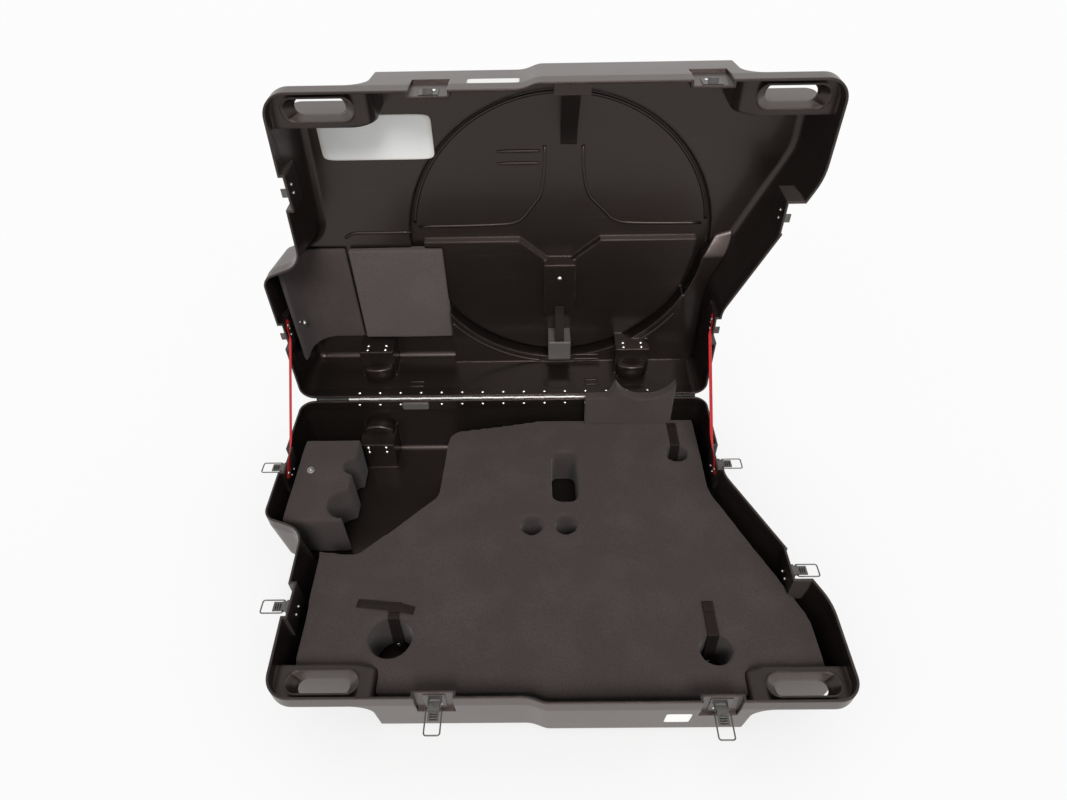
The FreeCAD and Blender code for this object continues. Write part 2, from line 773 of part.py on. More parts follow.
def make_latches():
    """The six latches with their keepers and rivets, levers swung out and bails lying outward."""
    latch_heads = []
    keeper_heads = []
    for place in latch_places():
        name = place[0]
        frame = latch_frame(place)
        pivot = Vector(0, size.pivot_out, -size.pivot_drop)
        make_latch_plate(name + "_latch_plate", frame)
        make_lever(name + "_lever", frame.multiply(Placement(pivot, Rotation())))
        loop = frame.multiply(Placement(pivot + Vector(0, size.bail_throw, 0), Rotation()))
        place_feature(name + "_bail", bail_shape(), loop)
        make_keeper(name + "_keeper", OPEN.multiply(frame))
        latch_heads += wall_rivets(-size.latch_rivet_drop, frame)
        keeper_heads += wall_rivets(size.keeper_rivet_rise, OPEN.multiply(frame))
    place_feature("latch_rivets", Part.makeCompound(latch_heads), Placement())
    place_feature("keeper_rivets", Part.makeCompound(keeper_heads), Placement())


def make_fork(label, placement):
    """A caster's fork: a plate against the pocket and two cheeks that carry the axle."""
    body = new_body(label, placement)
    side, width, sheet_ = "sizes.fork_length / 2", "sizes.fork_width / 2", "sizes.fork_sheet"
    height = "sizes.caster_pad_reach - sizes.axle_reach - sizes.fork_sheet"
    pad_box(body, "plate", "XY_Plane", height, sheet_, "-" + side, side, "-" + width, width)
    near = "sizes.tread_width / 2 + sizes.fork_gap"
    for name, place in (("left", f"-({near}) - {sheet_}"), ("right", near)):
        sketch = new_sketch(body, name, "YZ_Plane", place)
        draw_rectangle(sketch, "-sizes.fork_half", "sizes.fork_half", "-sizes.fork_half", height)
        draw_circle(sketch, "0", "0", "sizes.axle_radius + sizes.axle_clearance")
        extrude(body, "Pad", sketch, sheet_)


def make_wheel(label, placement):
    """A caster's wheel with a rounded tread and a bore for its axle."""
    body = new_body(label, placement)
    sketch = new_sketch(body, "tread", "YZ_Plane", "-sizes.tread_width / 2")
    draw_circle(sketch, "0", "0", "sizes.tread_radius")
    draw_circle(sketch, "0", "0", "sizes.axle_radius + sizes.axle_clearance")
    tread = extrude(body, "Pad", sketch, "sizes.tread_width")
    doc.recompute()
    rims = []
    for number, edge in enumerate(tread.Shape.Edges, start=1):
        if edge.Curve.TypeId == "Part::GeomCircle" and edge.Curve.Radius > size.tread_radius / 2:
            rims.append(f"Edge{number}")
    fillet = body.newObject("PartDesign::Fillet", label + "_fillet")
    fillet.Base = (tread, rims)
    fillet.setExpression("Radius", "sizes.tread_fillet")
    body.Tip = fillet


def make_casters():
    """Two casters on each half, with their axles and the screws that show inside."""
    for half, turn in ((base, 90), (lid, 0)):
        axles = []
        screws = []
        for name, x in caster_places():
            middle = half.placement.multVec(half.point(x, size.axle_reach, CASTER_DEPTH))
            frame = Placement(middle, Rotation(Vector(1, 0, 0), turn))
            make_fork(f"{half.name}_{name}_fork", frame)
            make_wheel(f"{half.name}_{name}_wheel", frame)
            end = size.tread_width / 2 + size.fork_gap + size.fork_sheet + size.axle_end
            start = middle - Vector(end, 0, 0)
            axles.append(Part.makeCylinder(size.axle_radius, 2 * end, start, Vector(1, 0, 0)))
            for side in (-1, 1):
                for row in (-1, 1):
                    depth = CASTER_DEPTH - size.screw_shift + row * size.screw_stagger
                    seat = half.point(x + side * size.screw_spread, CASTER_FACE, depth)
                    screws.append(dome(seat, half.point(0, 1, 0), size.screw_radius, size.screw_height))
        place_feature(half.name + "_caster_axles", Part.makeCompound(axles), Placement())
        place_feature(half.name + "_caster_screws", Part.makeCompound(screws), half.placement)


def stay_places():
    """Each stay's name, the x of its wall side, the way into the case and its reach from the hinge."""
    left = LEFT + size.recess_depth + size.wall
    right = WAIST - size.recess_depth - size.wall
    return [
        ("left", left, 1, "near_left_place", size.near_left_place + size.stay_shift),
        ("right", right, -1, "near_right_place", size.near_right_place + size.stay_shift),
    ]


def make_stays():
    """The two red straps that stop the lid, drawn tight from the base to the open lid."""
    for name, wall_x, inward, place, reach in stay_places():
        low = base.placement.multVec(base.point(wall_x, reach, size.stay_depth))
        high = lid.placement.multVec(lid.point(wall_x, reach, size.stay_depth))
        way = (high - low).normalize()
        across = way.cross(Vector(1, 0, 0))
        stay = doc.addObject("Part::Box", name + "_stay")
        stay.setExpression("Length", "sizes.stay_thickness")
        stay.setExpression("Width", "sizes.stay_width")
        rise = "sizes.pin_offset + sizes.rim_gap / 2 + sizes.stay_depth + sizes.stay_shift"
        rise += " + sizes." + place
        stay.setExpression("Height", f"sqrt(2) * ({rise}) + 2 * sizes.stay_end")
        side = wall_x + inward * size.soft_gap - (size.stay_thickness if inward < 0 else 0)
        corner = low - way * size.stay_end - across * (size.stay_width / 2)
        corner.x = side
        stay.Placement = Placement(corner, Rotation(Vector(1, 0, 0), -45))
        nodes.append(stay)


def make_studs():
    """The bright studs that hold the stays, the foam and the hub's block."""
    for half in (base, lid):
        heads = []
        for name, wall_x, inward, place, reach in stay_places():
            face = wall_x + inward * (size.soft_gap + size.stay_thickness)
            seat = half.point(face, reach, size.stay_depth)
            heads.append(dome(seat, Vector(inward, 0, 0), size.stud_radius, size.stud_height))
        if half is base:
            x = LEFT + size.bar_foam_inset + size.bar_foam_width / 4
            seat = half.point(x, size.near_left_place, BAR_FOAM_TOP)
            heads.append(dome(seat, Vector(0, 0, 1), size.stud_radius, size.stud_height))
        else:
            hub = half.point(size.well_place, hub_high() - size.hub_width / 2, HUB_DEPTH - size.wall)
            heads.append(dome(hub, Vector(0, 0, 1), size.stud_radius, size.stud_height))
            depth = (size.liner_top + liner_floor_depth() - size.liner_bend) / 2
            seat = half.point(liner_x() + size.liner_thickness, size.near_left_place, depth)
            heads.append(dome(seat, Vector(1, 0, 0), size.stud_radius, size.stud_height))
        place_feature(half.name + "_studs", Part.makeCompound(heads), half.placement)


def make_base_foam():
    """The thick foam floor of the base in blocks, with a bay for the handlebar and holes."""
    low = size.half_depth
    edge = Part.Face(rounded_wire(base, outline_corners(), size.foam_inset, low))
    slab = edge.extrude(Vector(0, 0, low - FOAM_TOP))
    foam = slab.common(form(base, size.wall + size.soft_gap))
    small = size.bay_radius / 4
    bay = [
        (LEFT, -size.overrun, small),
        (LEFT + size.bay_right, -size.overrun, small),
        (LEFT + size.bay_right, size.foam_inset, small),
        (LEFT + size.bay_corner, size.bay_corner_reach, size.bay_radius),
        (LEFT + size.bay_waist, size.bay_waist_reach, size.bay_radius),
        (LEFT + size.bay_foot, size.bay_foot_reach, size.bay_radius),
        (LEFT, size.shoulder_end, small),
    ]
    cuts = [Part.Face(rounded_wire(base, bay, 0, low)).extrude(Vector(0, 0, low))]
    side, end = size.slot_width / 2, size.slot_length / 2
    left, right = size.slot_place - side, size.slot_place + side
    near, far = size.slot_reach - end, size.slot_reach + end
    places = ((left, near), (right, near), (right, far), (left, far))
    slot = [(x, reach, size.slot_radius) for x, reach in places]
    cuts.append(Part.Face(rounded_wire(base, slot, 0, low)).extrude(Vector(0, 0, low)))
    for x, reach, radius in foam_holes():
        cuts.append(base.cylinder(x, reach, radius, 0, low))
    spread = 2 * (size.mouth_wall + size.soft_gap)
    for x, reach in hand_places():
        cuts.append(hand_hole(base, x, reach, spread, size.mouth_depth - size.soft_gap, size.corner_depth))
    side = size.screw_spread + 2 * size.screw_radius
    for name, x in caster_places():
        far = CASTER_FACE + 2 * size.screw_height
        cuts.append(base.block(x - side, x + side, 0, far, POCKET_DEPTH - size.wall, low))
    seam = size.soft_gap / 2
    for x in foam_seams():
        cuts.append(base.block(x - seam, x + seam, 0, FRONT, 0, low))
    place_feature("base_foam", foam.cut(cuts).removeSplitter(), base.placement)


def foam_holes():
    """The x, reach and radius of each round hole in the foam floor."""
    twins = [size.twin_hole_place + side * size.twin_hole_half for side in (-1, 1)]
    return [
        (LEFT + size.fork_hole_place, FRONT - size.fork_hole_inset, size.fork_hole_radius),
        (twins[0], size.twin_hole_reach, size.twin_hole_radius),
        (twins[1], size.twin_hole_reach, size.twin_hole_radius),
        (RIGHT - size.stay_hole_place, FRONT - size.stay_hole_inset, size.stay_hole_radius),
        (WAIST - size.seat_hole_place, size.seat_hole_reach, size.seat_hole_radius),
    ]


def foam_seams():
    """The x of each seam between the blocks of the foam floor, through the middles of its holes."""
    fork, left_twin, right_twin, stay, seat = (hole[0] for hole in foam_holes())
    return [fork, left_twin, right_twin, (stay + seat) / 2]


def make_bar_foam():
    """The foam block beside the left wall of the base, bitten out for the handlebar's ends."""
    left = LEFT + size.bar_foam_inset
    right = left + size.bar_foam_width
    low = size.half_depth
    foam = base.block(left, right, BAR_FOAM_START, size.bar_foam_end, BAR_FOAM_TOP, low)
    foam = foam.common(form(base, size.wall + size.soft_gap))
    bites = [base.cylinder(right, size.bar_bite_reach, size.bar_bite_radius, 0, low)]
    bites.append(base.cylinder(right, size.cable_bite_reach, size.cable_bite_radius, 0, low))
    place_feature("bar_foam", foam.cut(bites), base.placement)


def make_saddle_foam():
    """The upright foam sheet by the hinge, hollowed on top for the wheel arch of the lid."""
    low = FOAM_TOP - size.soft_gap
    left, right = WAIST - size.saddle_left, WAIST - size.saddle_right
    step = WAIST - size.saddle_step
    near = size.saddle_start

    def at(x, depth):
        return base.point(x, near, depth)

    walls = [(step, -size.saddle_high_rise), (step - size.saddle_step_run, -size.saddle_low_rise)]
    walls += [(left, -size.saddle_low_rise), (left, low), (right, low), (right, -size.saddle_high_rise)]
    points = [at(x, depth) for x, depth in walls]
    edges = [Part.LineSegment(first, last).toShape() for first, last in zip(points, points[1:])]
    dip = at((step + right) / 2, size.saddle_dip - size.saddle_high_rise)
    edges.append(Part.Arc(points[-1], dip, points[0]).toShape())
    foam = Part.Face(Part.Wire(edges)).extrude(base.point(0, size.saddle_thickness, 0))
    place_feature("saddle_foam", foam, base.placement)


def liner_x():
    """The x of the outside of the lid's foam liner, clear of the tapered wall."""
    return LEFT + size.wall + LEAN * (PANEL_DEPTH - size.rim_band) + size.soft_gap


def liner_floor_depth():
    """The depth of the soft pieces that lie on the lid's panel."""
    return PANEL_DEPTH - size.wall - size.soft_gap


def hub_high():
    """The reach of the far end of the hub's block."""
    return WELL_REACH - size.dip_drop


def make_lid_liner():
    """The foam sheet bent round from the left wall of the lid onto its panel."""
    left, floor, bend, thick = liner_x(), liner_floor_depth(), size.liner_bend, size.liner_thickness
    right = left + bend + size.liner_floor
    share = math.sqrt(0.5)
    near = LINER_START

    def at(x, depth):
        return lid.point(x, near, depth)

    def turn(radius):
        return at(left + bend - radius * share, floor - bend + radius * share)

    inner = bend - thick
    edges = [
        Part.LineSegment(at(left, size.liner_top), at(left, floor - bend)).toShape(),
        Part.Arc(at(left, floor - bend), turn(bend), at(left + bend, floor)).toShape(),
        Part.LineSegment(at(left + bend, floor), at(right, floor)).toShape(),
        Part.LineSegment(at(right, floor), at(right, floor - thick)).toShape(),
        Part.LineSegment(at(right, floor - thick), at(left + bend, floor - thick)).toShape(),
        Part.Arc(at(left + bend, floor - thick), turn(inner), at(left + thick, floor - bend)).toShape(),
        Part.LineSegment(at(left + thick, floor - bend), at(left + thick, size.liner_top)).toShape(),
        Part.LineSegment(at(left + thick, size.liner_top), at(left, size.liner_top)).toShape(),
    ]
    run = lid.point(0, size.liner_end - LINER_START, 0)
    place_feature("lid_liner", Part.Face(Part.Wire(edges)).extrude(run), lid.placement)


def make_lid_pad():
    """The flat foam pad on the lid's panel beside the liner, stepped over the edge of the wheel well."""
    left = liner_x() + size.liner_bend + size.liner_floor + size.pad_gap
    top = liner_floor_depth() - size.pad_thickness
    right = left + size.pad_width
    pad = lid.block(left, right, PAD_START, size.pad_end, top, PANEL_DEPTH)
    place_feature("lid_pad", pad.common(form(lid, size.wall + size.soft_gap)), lid.placement)


def strip(half, x, width, route):
    """A flat strap of even thickness along a route of reaches and depths."""
    first, last = (Vector(reach, depth) for reach, depth in route)
    way = (last - first).normalize()
    lift = Vector(way.y, -way.x) * size.strap_thickness
    corners = (first, last, last + lift, first + lift)
    points = [half.point(x - width / 2, corner.x, corner.y) for corner in corners]
    return Part.Face(Part.makePolygon(points + points[:1])).extrude(Vector(width, 0, 0))


def make_wheel_straps():
    """The strap from the front wall to the well, and the short one from the hub to the hinge's block."""
    gap = size.soft_gap
    wall_reach = FRONT - size.wall - LEAN * (size.anchor_bottom - size.rim_band) - gap
    x, side = size.wheel_strap_place, size.anchor_width / 2
    anchor_low = wall_reach - size.anchor_drop
    anchor = lid.block(x - side, x + side, anchor_low, wall_reach, size.anchor_top, size.anchor_bottom)
    place_feature("strap_anchor", anchor, lid.placement)
    start = (anchor_low - gap - size.strap_thickness, (size.anchor_top + size.anchor_bottom) / 2)
    end = (FRONT - size.wheel_strap_inset, size.half_depth - size.wall - gap - size.strap_thickness)
    place_feature("wheel_strap", strip(lid, x, size.wheel_strap_width, (start, end)), lid.placement)
    x, side = size.well_place, size.block_width / 2
    far = size.block_start + size.block_length
    block = lid.block(x - side, x + side, size.block_start, far, size.block_top, size.half_depth)
    block = block.common(form(lid, size.wall + gap))
    place_feature("strap_block", block, lid.placement)
    hub_low = hub_high() - size.hub_length + size.hub_strap_width
    start = (hub_low, HUB_DEPTH - size.wall - gap - size.strap_thickness)
    end = (far + gap + size.strap_thickness, size.block_top + size.strap_thickness)
    place_feature("hub_strap", strip(lid, x, size.hub_strap_width, (start, end)), lid.placement)


def make_frame_straps():
    """Three straps that come out of the foam's holes and lie on the foam towards the hinge."""
    straps = []
    top = FOAM_TOP - size.soft_gap
    thick, side = size.strap_thickness, size.frame_strap_width / 2
    holes = foam_holes()
    for x, reach, radius in (holes[0], holes[3], holes[4]):
        edge = reach - math.sqrt(radius ** 2 - side ** 2) + size.soft_gap
        profile = [
            (edge + thick, top - thick),
            (edge + thick, top + size.frame_strap_drop),
            (edge, top + size.frame_strap_drop),
            (edge, top),
            (edge - size.frame_strap_length, top),
            (edge - size.frame_strap_length, top - thick),
        ]
        points = [base.point(x - side, place, depth) for place, depth in profile]
        straps.append(Part.Face(Part.makePolygon(points + points[:1])).extrude(Vector(2 * side, 0, 0)))
    place_feature("frame_straps", Part.makeCompound(straps), base.placement)


for half in (base, lid):
    make_shell(half)
make_hinge()
make_latches()
make_casters()
make_stays()
make_studs()
make_base_foam()
make_bar_foam()
make_saddle_foam()
make_lid_liner()
make_lid_pad()
make_wheel_straps()
make_frame_straps()
doc.recompute()

for thing in doc.Objects:
    if "Invalid" in thing.State or "Error" in thing.State:
        raise RuntimeError(f"{thing.Name} failed: {thing.State}")
for node in nodes:
    if node.Shape.isNull() or not node.Shape.isValid() or not node.Shape.Solids:
        raise RuntimeError(f"{node.Label} has no valid shape")

os.makedirs("parts", exist_ok=True)
for node in nodes:
    node.Shape.exportStep(f"parts/{node.Label}.step")
print(len(nodes), "sub-parts written")
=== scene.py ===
import math

import bmesh
import bpy
import numpy as np
from bpy.props import FloatProperty, FloatVectorProperty, IntProperty, PointerProperty
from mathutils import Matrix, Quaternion, Vector


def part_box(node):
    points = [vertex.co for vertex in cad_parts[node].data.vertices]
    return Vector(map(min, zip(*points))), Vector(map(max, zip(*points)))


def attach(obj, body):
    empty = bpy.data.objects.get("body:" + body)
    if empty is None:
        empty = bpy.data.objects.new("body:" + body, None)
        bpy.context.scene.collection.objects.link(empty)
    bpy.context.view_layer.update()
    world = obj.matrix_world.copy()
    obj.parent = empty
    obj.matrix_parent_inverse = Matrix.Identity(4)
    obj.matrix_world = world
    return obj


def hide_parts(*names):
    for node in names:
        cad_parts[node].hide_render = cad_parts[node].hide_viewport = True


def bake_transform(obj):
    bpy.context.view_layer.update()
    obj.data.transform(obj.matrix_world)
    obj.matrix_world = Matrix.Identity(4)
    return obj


bl_info = {
    "name": "Bicycle travel case",
    "version": (1, 0, 0),
    "blender": (4, 5, 0),
    "location": "3D View > Sidebar > Travel case",
    "description": "Dresses an open travel case: shells, foam, webbing, latches, hinge, casters and stage",
    "category": "Object",
}

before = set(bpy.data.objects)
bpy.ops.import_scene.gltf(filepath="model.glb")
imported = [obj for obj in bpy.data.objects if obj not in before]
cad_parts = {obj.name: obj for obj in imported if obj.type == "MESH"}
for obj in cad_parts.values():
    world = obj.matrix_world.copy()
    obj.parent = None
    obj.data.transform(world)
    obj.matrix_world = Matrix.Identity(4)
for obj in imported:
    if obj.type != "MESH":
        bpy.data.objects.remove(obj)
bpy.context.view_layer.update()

MM = 0.001
LATCH_NAMES = ("near_left", "far_left", "near_right", "far_right", "front_left", "front_right")
CASTER_NAMES = ("base_left", "base_right", "lid_left", "lid_right")
X_WAY = np.array((1.0, 0.0, 0.0))
Y_WAY = np.array((0.0, 1.0, 0.0))
Z_WAY = np.array((0.0, 0.0, 1.0))
WAYS = (X_WAY, Y_WAY, Z_WAY)
WHITE = (1.0, 1.0, 1.0, 1.0)
WARM_GLOSS = (1.0, 0.74, 0.67, 1.0)
SUN_WAY = (0.1, -0.9, 1.0)

# Points nearer to each other than the gap are one, and thinner faces are dropped
MERGE_GAP = 0.01 * MM
THIN_FACE = 0.005 * MM

# How square a rounded form is: the power of its cosines and sines, from 1 for an ellipse to 0 for a box
ROUND_POWER = 1.0
BAR_POWER = 0.55
GRIP_POWER = 0.5
STRAP_POWER = 0.4
BLOCK_POWER = 0.25
STICKER_POWER = 0.18

# Widths of the patterns in the materials, and how deep the patterns press into the surface
PLASTIC_PATCH = 160 * MM
PLASTIC_RUB = 35 * MM
PLASTIC_PEBBLE = 5.5 * MM
PLASTIC_PIT = 2.4 * MM
PLASTIC_GRAIN = 1.1 * MM
PLASTIC_DEPTH = 0.5 * MM
FOAM_PATCH = 110 * MM
FOAM_GRAIN = 3.6 * MM
FOAM_PORE = 1.9 * MM
FOAM_SPECKLE = 1.3 * MM
FOAM_DEPTH = 0.7 * MM
STRAP_YARN = 1.6 * MM
STAY_YARN = 1.5 * MM
YARN_WEAR = 20 * MM
YARN_DEPTH = 0.35 * MM
STITCH_EDGE = 0.6 * MM
STITCH_CORE = 0.3 * MM
METAL_CLOUD = 9 * MM
METAL_DEPTH = 0.2 * MM
RUBBER_DUST = 12 * MM
RUBBER_DEPTH = 0.4 * MM
PAPER_SMUDGE = 30 * MM
PAPER_FIBRE = 0.6 * MM
PAPER_DEPTH = 0.1 * MM
FLOOR_CLOUD = 1400 * MM

# Streaks in the materials, as repeats to the metre along each axis
SCUFF_STRETCH = (9.0, 160.0, 160.0)
DRAWN_STRETCH = (60.0, 1500.0, 1500.0)
RING_STRETCH = (900.0, 40.0, 40.0)

# How round the edges of metal parts look
STEEL_EDGE = 0.6 * MM
HEAD_EDGE = 0.4 * MM

# A place inside each half, in metres: a face that looks away from it is on that half's outside
SHELL_MIDDLES = {"base_shell": (0.0, 0.12, 0.20), "lid_shell": (0.0, 0.41, 0.55)}
OUTSIDE_FADE = 20 * MM

# The round covers over the casters, in millimetres: name, body, middle of the flat back, forward and up
DRUMS = (
    ("lid_left_drum", "lid", (-435, 514, 191.5), -Y_WAY, Z_WAY),
    ("lid_right_drum", "lid", (285, 514, 191.5), -Y_WAY, Z_WAY),
    ("base_left_drum", "base", (-435, 419, 96.6), Z_WAY, -Y_WAY),
)
DRUM_ROUND_SHARE = 0.2

# The rubber beads beyond the hinge's ends: the ends of the hinge wall, and the pin's line
WALL_ENDS = (-606 * MM, 459 * MM)
PIN_LINE = (430.3 * MM, 180.25 * MM)

# The round heads that hold the foam, in millimetres
BAR_WASHER = (-581.5, 206, 140)
LINER_WASHER = (-613.1, 522.7, 382.8)

# Levels of the lid's inside, its round well and the lines moulded in it, as arcs in degrees and routes in
# millimetres
PANEL_LEVEL = 591.5 * MM
WELL_LEVEL = 605.5 * MM
PLATFORM_LEVEL = 560.5 * MM
WELL_MIDDLE = (80 * MM, 582.5 * MM)
WELL_LINE_RADIUS = 372 * MM
WELL_LINE_ANGLES = (8, 172)
RIM_LINE_RADIUS = 381 * MM
RIM_LINE_ANGLES = ((219, 262), (303, 326))
LEDGE_LINE = ((-470, 600), (-456, 614), (-420, 614), (-300, 614))
LEFT_CHANNEL_LINE = ((42, 830), (42, 717), (9, 672), (-20, 632), (-70, 622), (-280, 622))
RIGHT_CHANNEL_LINE = ((133, 830), (133, 717), (190, 662), (215, 632), (265, 622), (440, 622))

# The raised corner right of the lid's well, in millimetres: its levels, the radius of its round edge, the
# height where it leaves the platform, its rounding and taper, the heights and the distances from its left
# edge at which it is drawn, and the wall's x at each height
CORNER_FRONT = 560
CORNER_BACK = 564.5
CORNER_TUCK = 563
CORNER_FOOT = 607
CORNER_RADIUS = 367.5
CORNER_JOIN = 412
CORNER_EDGE = 5
CORNER_TAPER = 16
CORNER_TAPER_DROP = 0.8
CORNER_HEIGHTS = (
    197, 200, 205, 210, 220, 230, 300, 360, 400, 411.9, 413.5, 426, 440, 455, 470, 485, 500, 515, 530, 538
)
CORNER_STEPS = (0, 0.4, 1.2, 2.5, 4, 6, 11, 16)
CORNER_REST_SHARES = (0.2, 0.4, 0.6, 0.8, 1)
CORNER_WALL = (
    (197, 450), (200, 456), (205, 462.5), (210, 467), (220, 471),
    (230, 472), (455, 472), (480, 476), (510, 488.5), (547, 505.5),
)

# The slope at that corner's top: the x and z of its front and back edges, its back level, how far its
# underside lies behind it, its foot on the panel, the well's edge, and how far it bulges into the wall
SLOPE_FRONT = ((446.2, 547), (505.5, 547))
SLOPE_BACK = ((480, 600), (520, 612))
SLOPE_END = 593
SLOPE_SHEET = 1
SLOPE_FOOT = 596
WELL_EDGE_RADIUS = 390
SLOPE_WALL_BULGE = 5.5
SLOPE_SHARES = (-0.10, -0.05, 0, 0.05, 0.10, 0.2, 0.4, 0.6, 0.8, 1)
SLOPE_ROUND_SHARE = 0.05

# Moulded bars, in millimetres: the middle of each and its width, rise and height
LID_BARS = (
    ((-20, 605, 818), (104, 8, 7)),
    ((-20, 605, 788), (104, 8, 7)),
    ((158, 560, 224), (82, 7, 8)),
    ((158, 560, 208), (82, 7, 8)),
    ((-326, 470, 190.5), (42, 7, 7)),
    ((-326, 486, 192.5), (42, 7, 7)),
    ((170, 470, 190.5), (42, 7, 7)),
    ((170, 486, 192.5), (42, 7, 7)),
)
BASE_BARS = (((-327, 419.5, 163), (75, 10, 24)),)

# Blank stickers: name, body, middle and size in millimetres, lean in degrees and the way each faces
LABELS = (
    ("lid_panel_label", "lid", (-348, 591.3, 861), (263, 106), 0, "front"),
    ("lid_band_label", "lid", (-63, 482.5, 1022.3), (107, 34), 7, "up"),
    ("base_band_label", "base", (296, -419, 90), (52, 56), 7, "front"),
)
STICKER_SHRINK_SHARES = np.array((0, 0.5, 0.9, 0.985, 1, 1, 0))
STICKER_RISE_SHARES = np.array((0.5, 0.5, 0.5, 0.5, 0.3, -0.5, -0.5))

# The foam: how much each rounding pass smooths, and the two waves by which its faces rise and fall
SOFTEN_SHARE = 0.5
SWELL_SHARES = ((1.0, 0.7, 0.0), (0.0, 1.3, -0.6))
SWELL_SHIFTS = (0.0, 1.0)

# The stays: where each starts to twist and over what run, the same from its upper end, and its seams
STAY_TWIST_SHARES = (0.03, 0.22)
STAY_UNTWIST_SHARES = (0.98, 0.10)
STAY_SEAM_SHARE = 0.38

# Straps in the lid: node, name, whether the upper end lies nearer to the rim (1) or deeper (-1), and in
# millimetres the straight runs at the upper and lower end and how far the middle hangs deeper
LID_STRAPS = (
    ("wheel_strap", "wheel_webbing", 1, (12, 20), 6),
    ("hub_strap", "hub_webbing", -1, (15, 8), None),
)
STRAP_SEAM = 9 * MM

# Straps in the floor's holes, in millimetres: the middle of the hole, its radius, and how far the strap lies
# on the foam; then its straight run, its bend over the hole's edge, its drop, its hem and its bolt
FRAME_STRAPS = (
    ((-306, -257), 47, 34),
    ((392, -290), 34, 76),
    ((390, 266), 30, 76),
)
FOAM_TOP = 125 * MM
FRAME_STRAP_RUN = 10
FRAME_STRAP_BEND = ((9, 0), (-1, 1), (-5, 0), (-5.5, -9))
FRAME_STRAP_DROP = ((-7, 96), (-12, 50), (-16, 20))
FRAME_STRAP_HEM = (-1, -12, -24)
FRAME_STRAP_BOLT = (-17.5, 32)
BOLT_SHARE = 1.6
CROSS_STRAP = (
    (-392, -176, 126.4), (-350, -182, 129.5), (-306, -189, 131.6), (-285, -192, 130), (-262, -196, 126.4)
)

# The ribs on each lever, in millimetres: their size, and how far they lie from the lever's tip
GRIP_SIZE = (2.4, 15, 2)
GRIP_INSETS = (5, 10, 15)

# The hub caps: the lip round the bore, the places of the outer ring, and the height between them
HUB_LIP_SHARES = (0.15, 0.2)
HUB_RING_SHARES = (0.72, 0.78, 0.94)
HUB_DISH_SHARE = 0.3


def span(node):
    """The lowest and the highest corner of a node of the frame, as arrays."""
    low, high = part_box(node)
    return np.array(low), np.array(high)


def length(name, description, default):
    """A length that a user may change."""
    return FloatProperty(name=name, description=description, default=default, unit="LENGTH", precision=4)


def share(name, description, default):
    """A share between nothing and all."""
    return FloatProperty(
        name=name, description=description, default=default, min=0, max=1, subtype="FACTOR"
    )


def angle(name, description, degrees):
    """An angle that a user may change, given in degrees."""
    return FloatProperty(name=name, description=description, default=math.radians(degrees), subtype="ANGLE")


def colour(name, description, default):
    """A colour that a user may change."""
    return FloatVectorProperty(
        name=name, description=description, default=default, size=3, min=0, max=1, subtype="COLOR"
    )


class CaseColours(bpy.types.PropertyGroup):
    """The colours of the case's materials."""

    shell: colour("Shell", "Moulded plastic of both shells", (0.0080, 0.0062, 0.0055))
    # The shell's outside tone is far paler than the shell: a painted reflection of the bright floor and
    # surroundings on the outer faces.
    shell_outside_painted_light: colour("Shell outside", "Pebbled outside of both shells", (0.056, 0.046, 0.042))
    shell_pale: colour("Pale shell", "Plastic rubbed pale along its edges", (0.060, 0.050, 0.046))
    foam: colour("Foam", "Foam of the floor, the bar block and the lid's liner", (0.062, 0.048, 0.045))
    foam_pale: colour("Pale foam", "Foam where it is rubbed or catches dust", (0.090, 0.071, 0.067))
    pad_foam: colour("Pad foam", "Foam of the lid's flat pad", (0.096, 0.079, 0.076))
    webbing: colour("Webbing", "Black straps", (0.0095, 0.0078, 0.0072))
    stay: colour("Stays", "Red webbing that stops the lid", (0.50, 0.012, 0.016))
    latch: colour("Latches", "Dark plated steel of the latches and keepers", (0.135, 0.128, 0.122))
    steel: colour("Steel", "Plated steel of the forks and washers", (0.36, 0.345, 0.325))
    bright: colour("Bright heads", "Polished rivets, screws and studs", (0.80, 0.79, 0.77))
    hinge: colour("Hinge", "Rolled aluminium of the long hinge", (0.50, 0.49, 0.47))
    rubber: colour("Rubber", "Treads of the casters", (0.018, 0.018, 0.018))
    hub: colour("Wheel hub", "Moulded hubs of the casters", (0.20, 0.19, 0.18))
    block: colour("Strap blocks", "Grey moulded blocks that hold the straps", (0.105, 0.098, 0.093))
    label: colour("Labels", "Blank stickers", (0.93, 0.93, 0.92))
    floor: colour("Floor", "The floor under the case", (0.975, 0.975, 0.975))


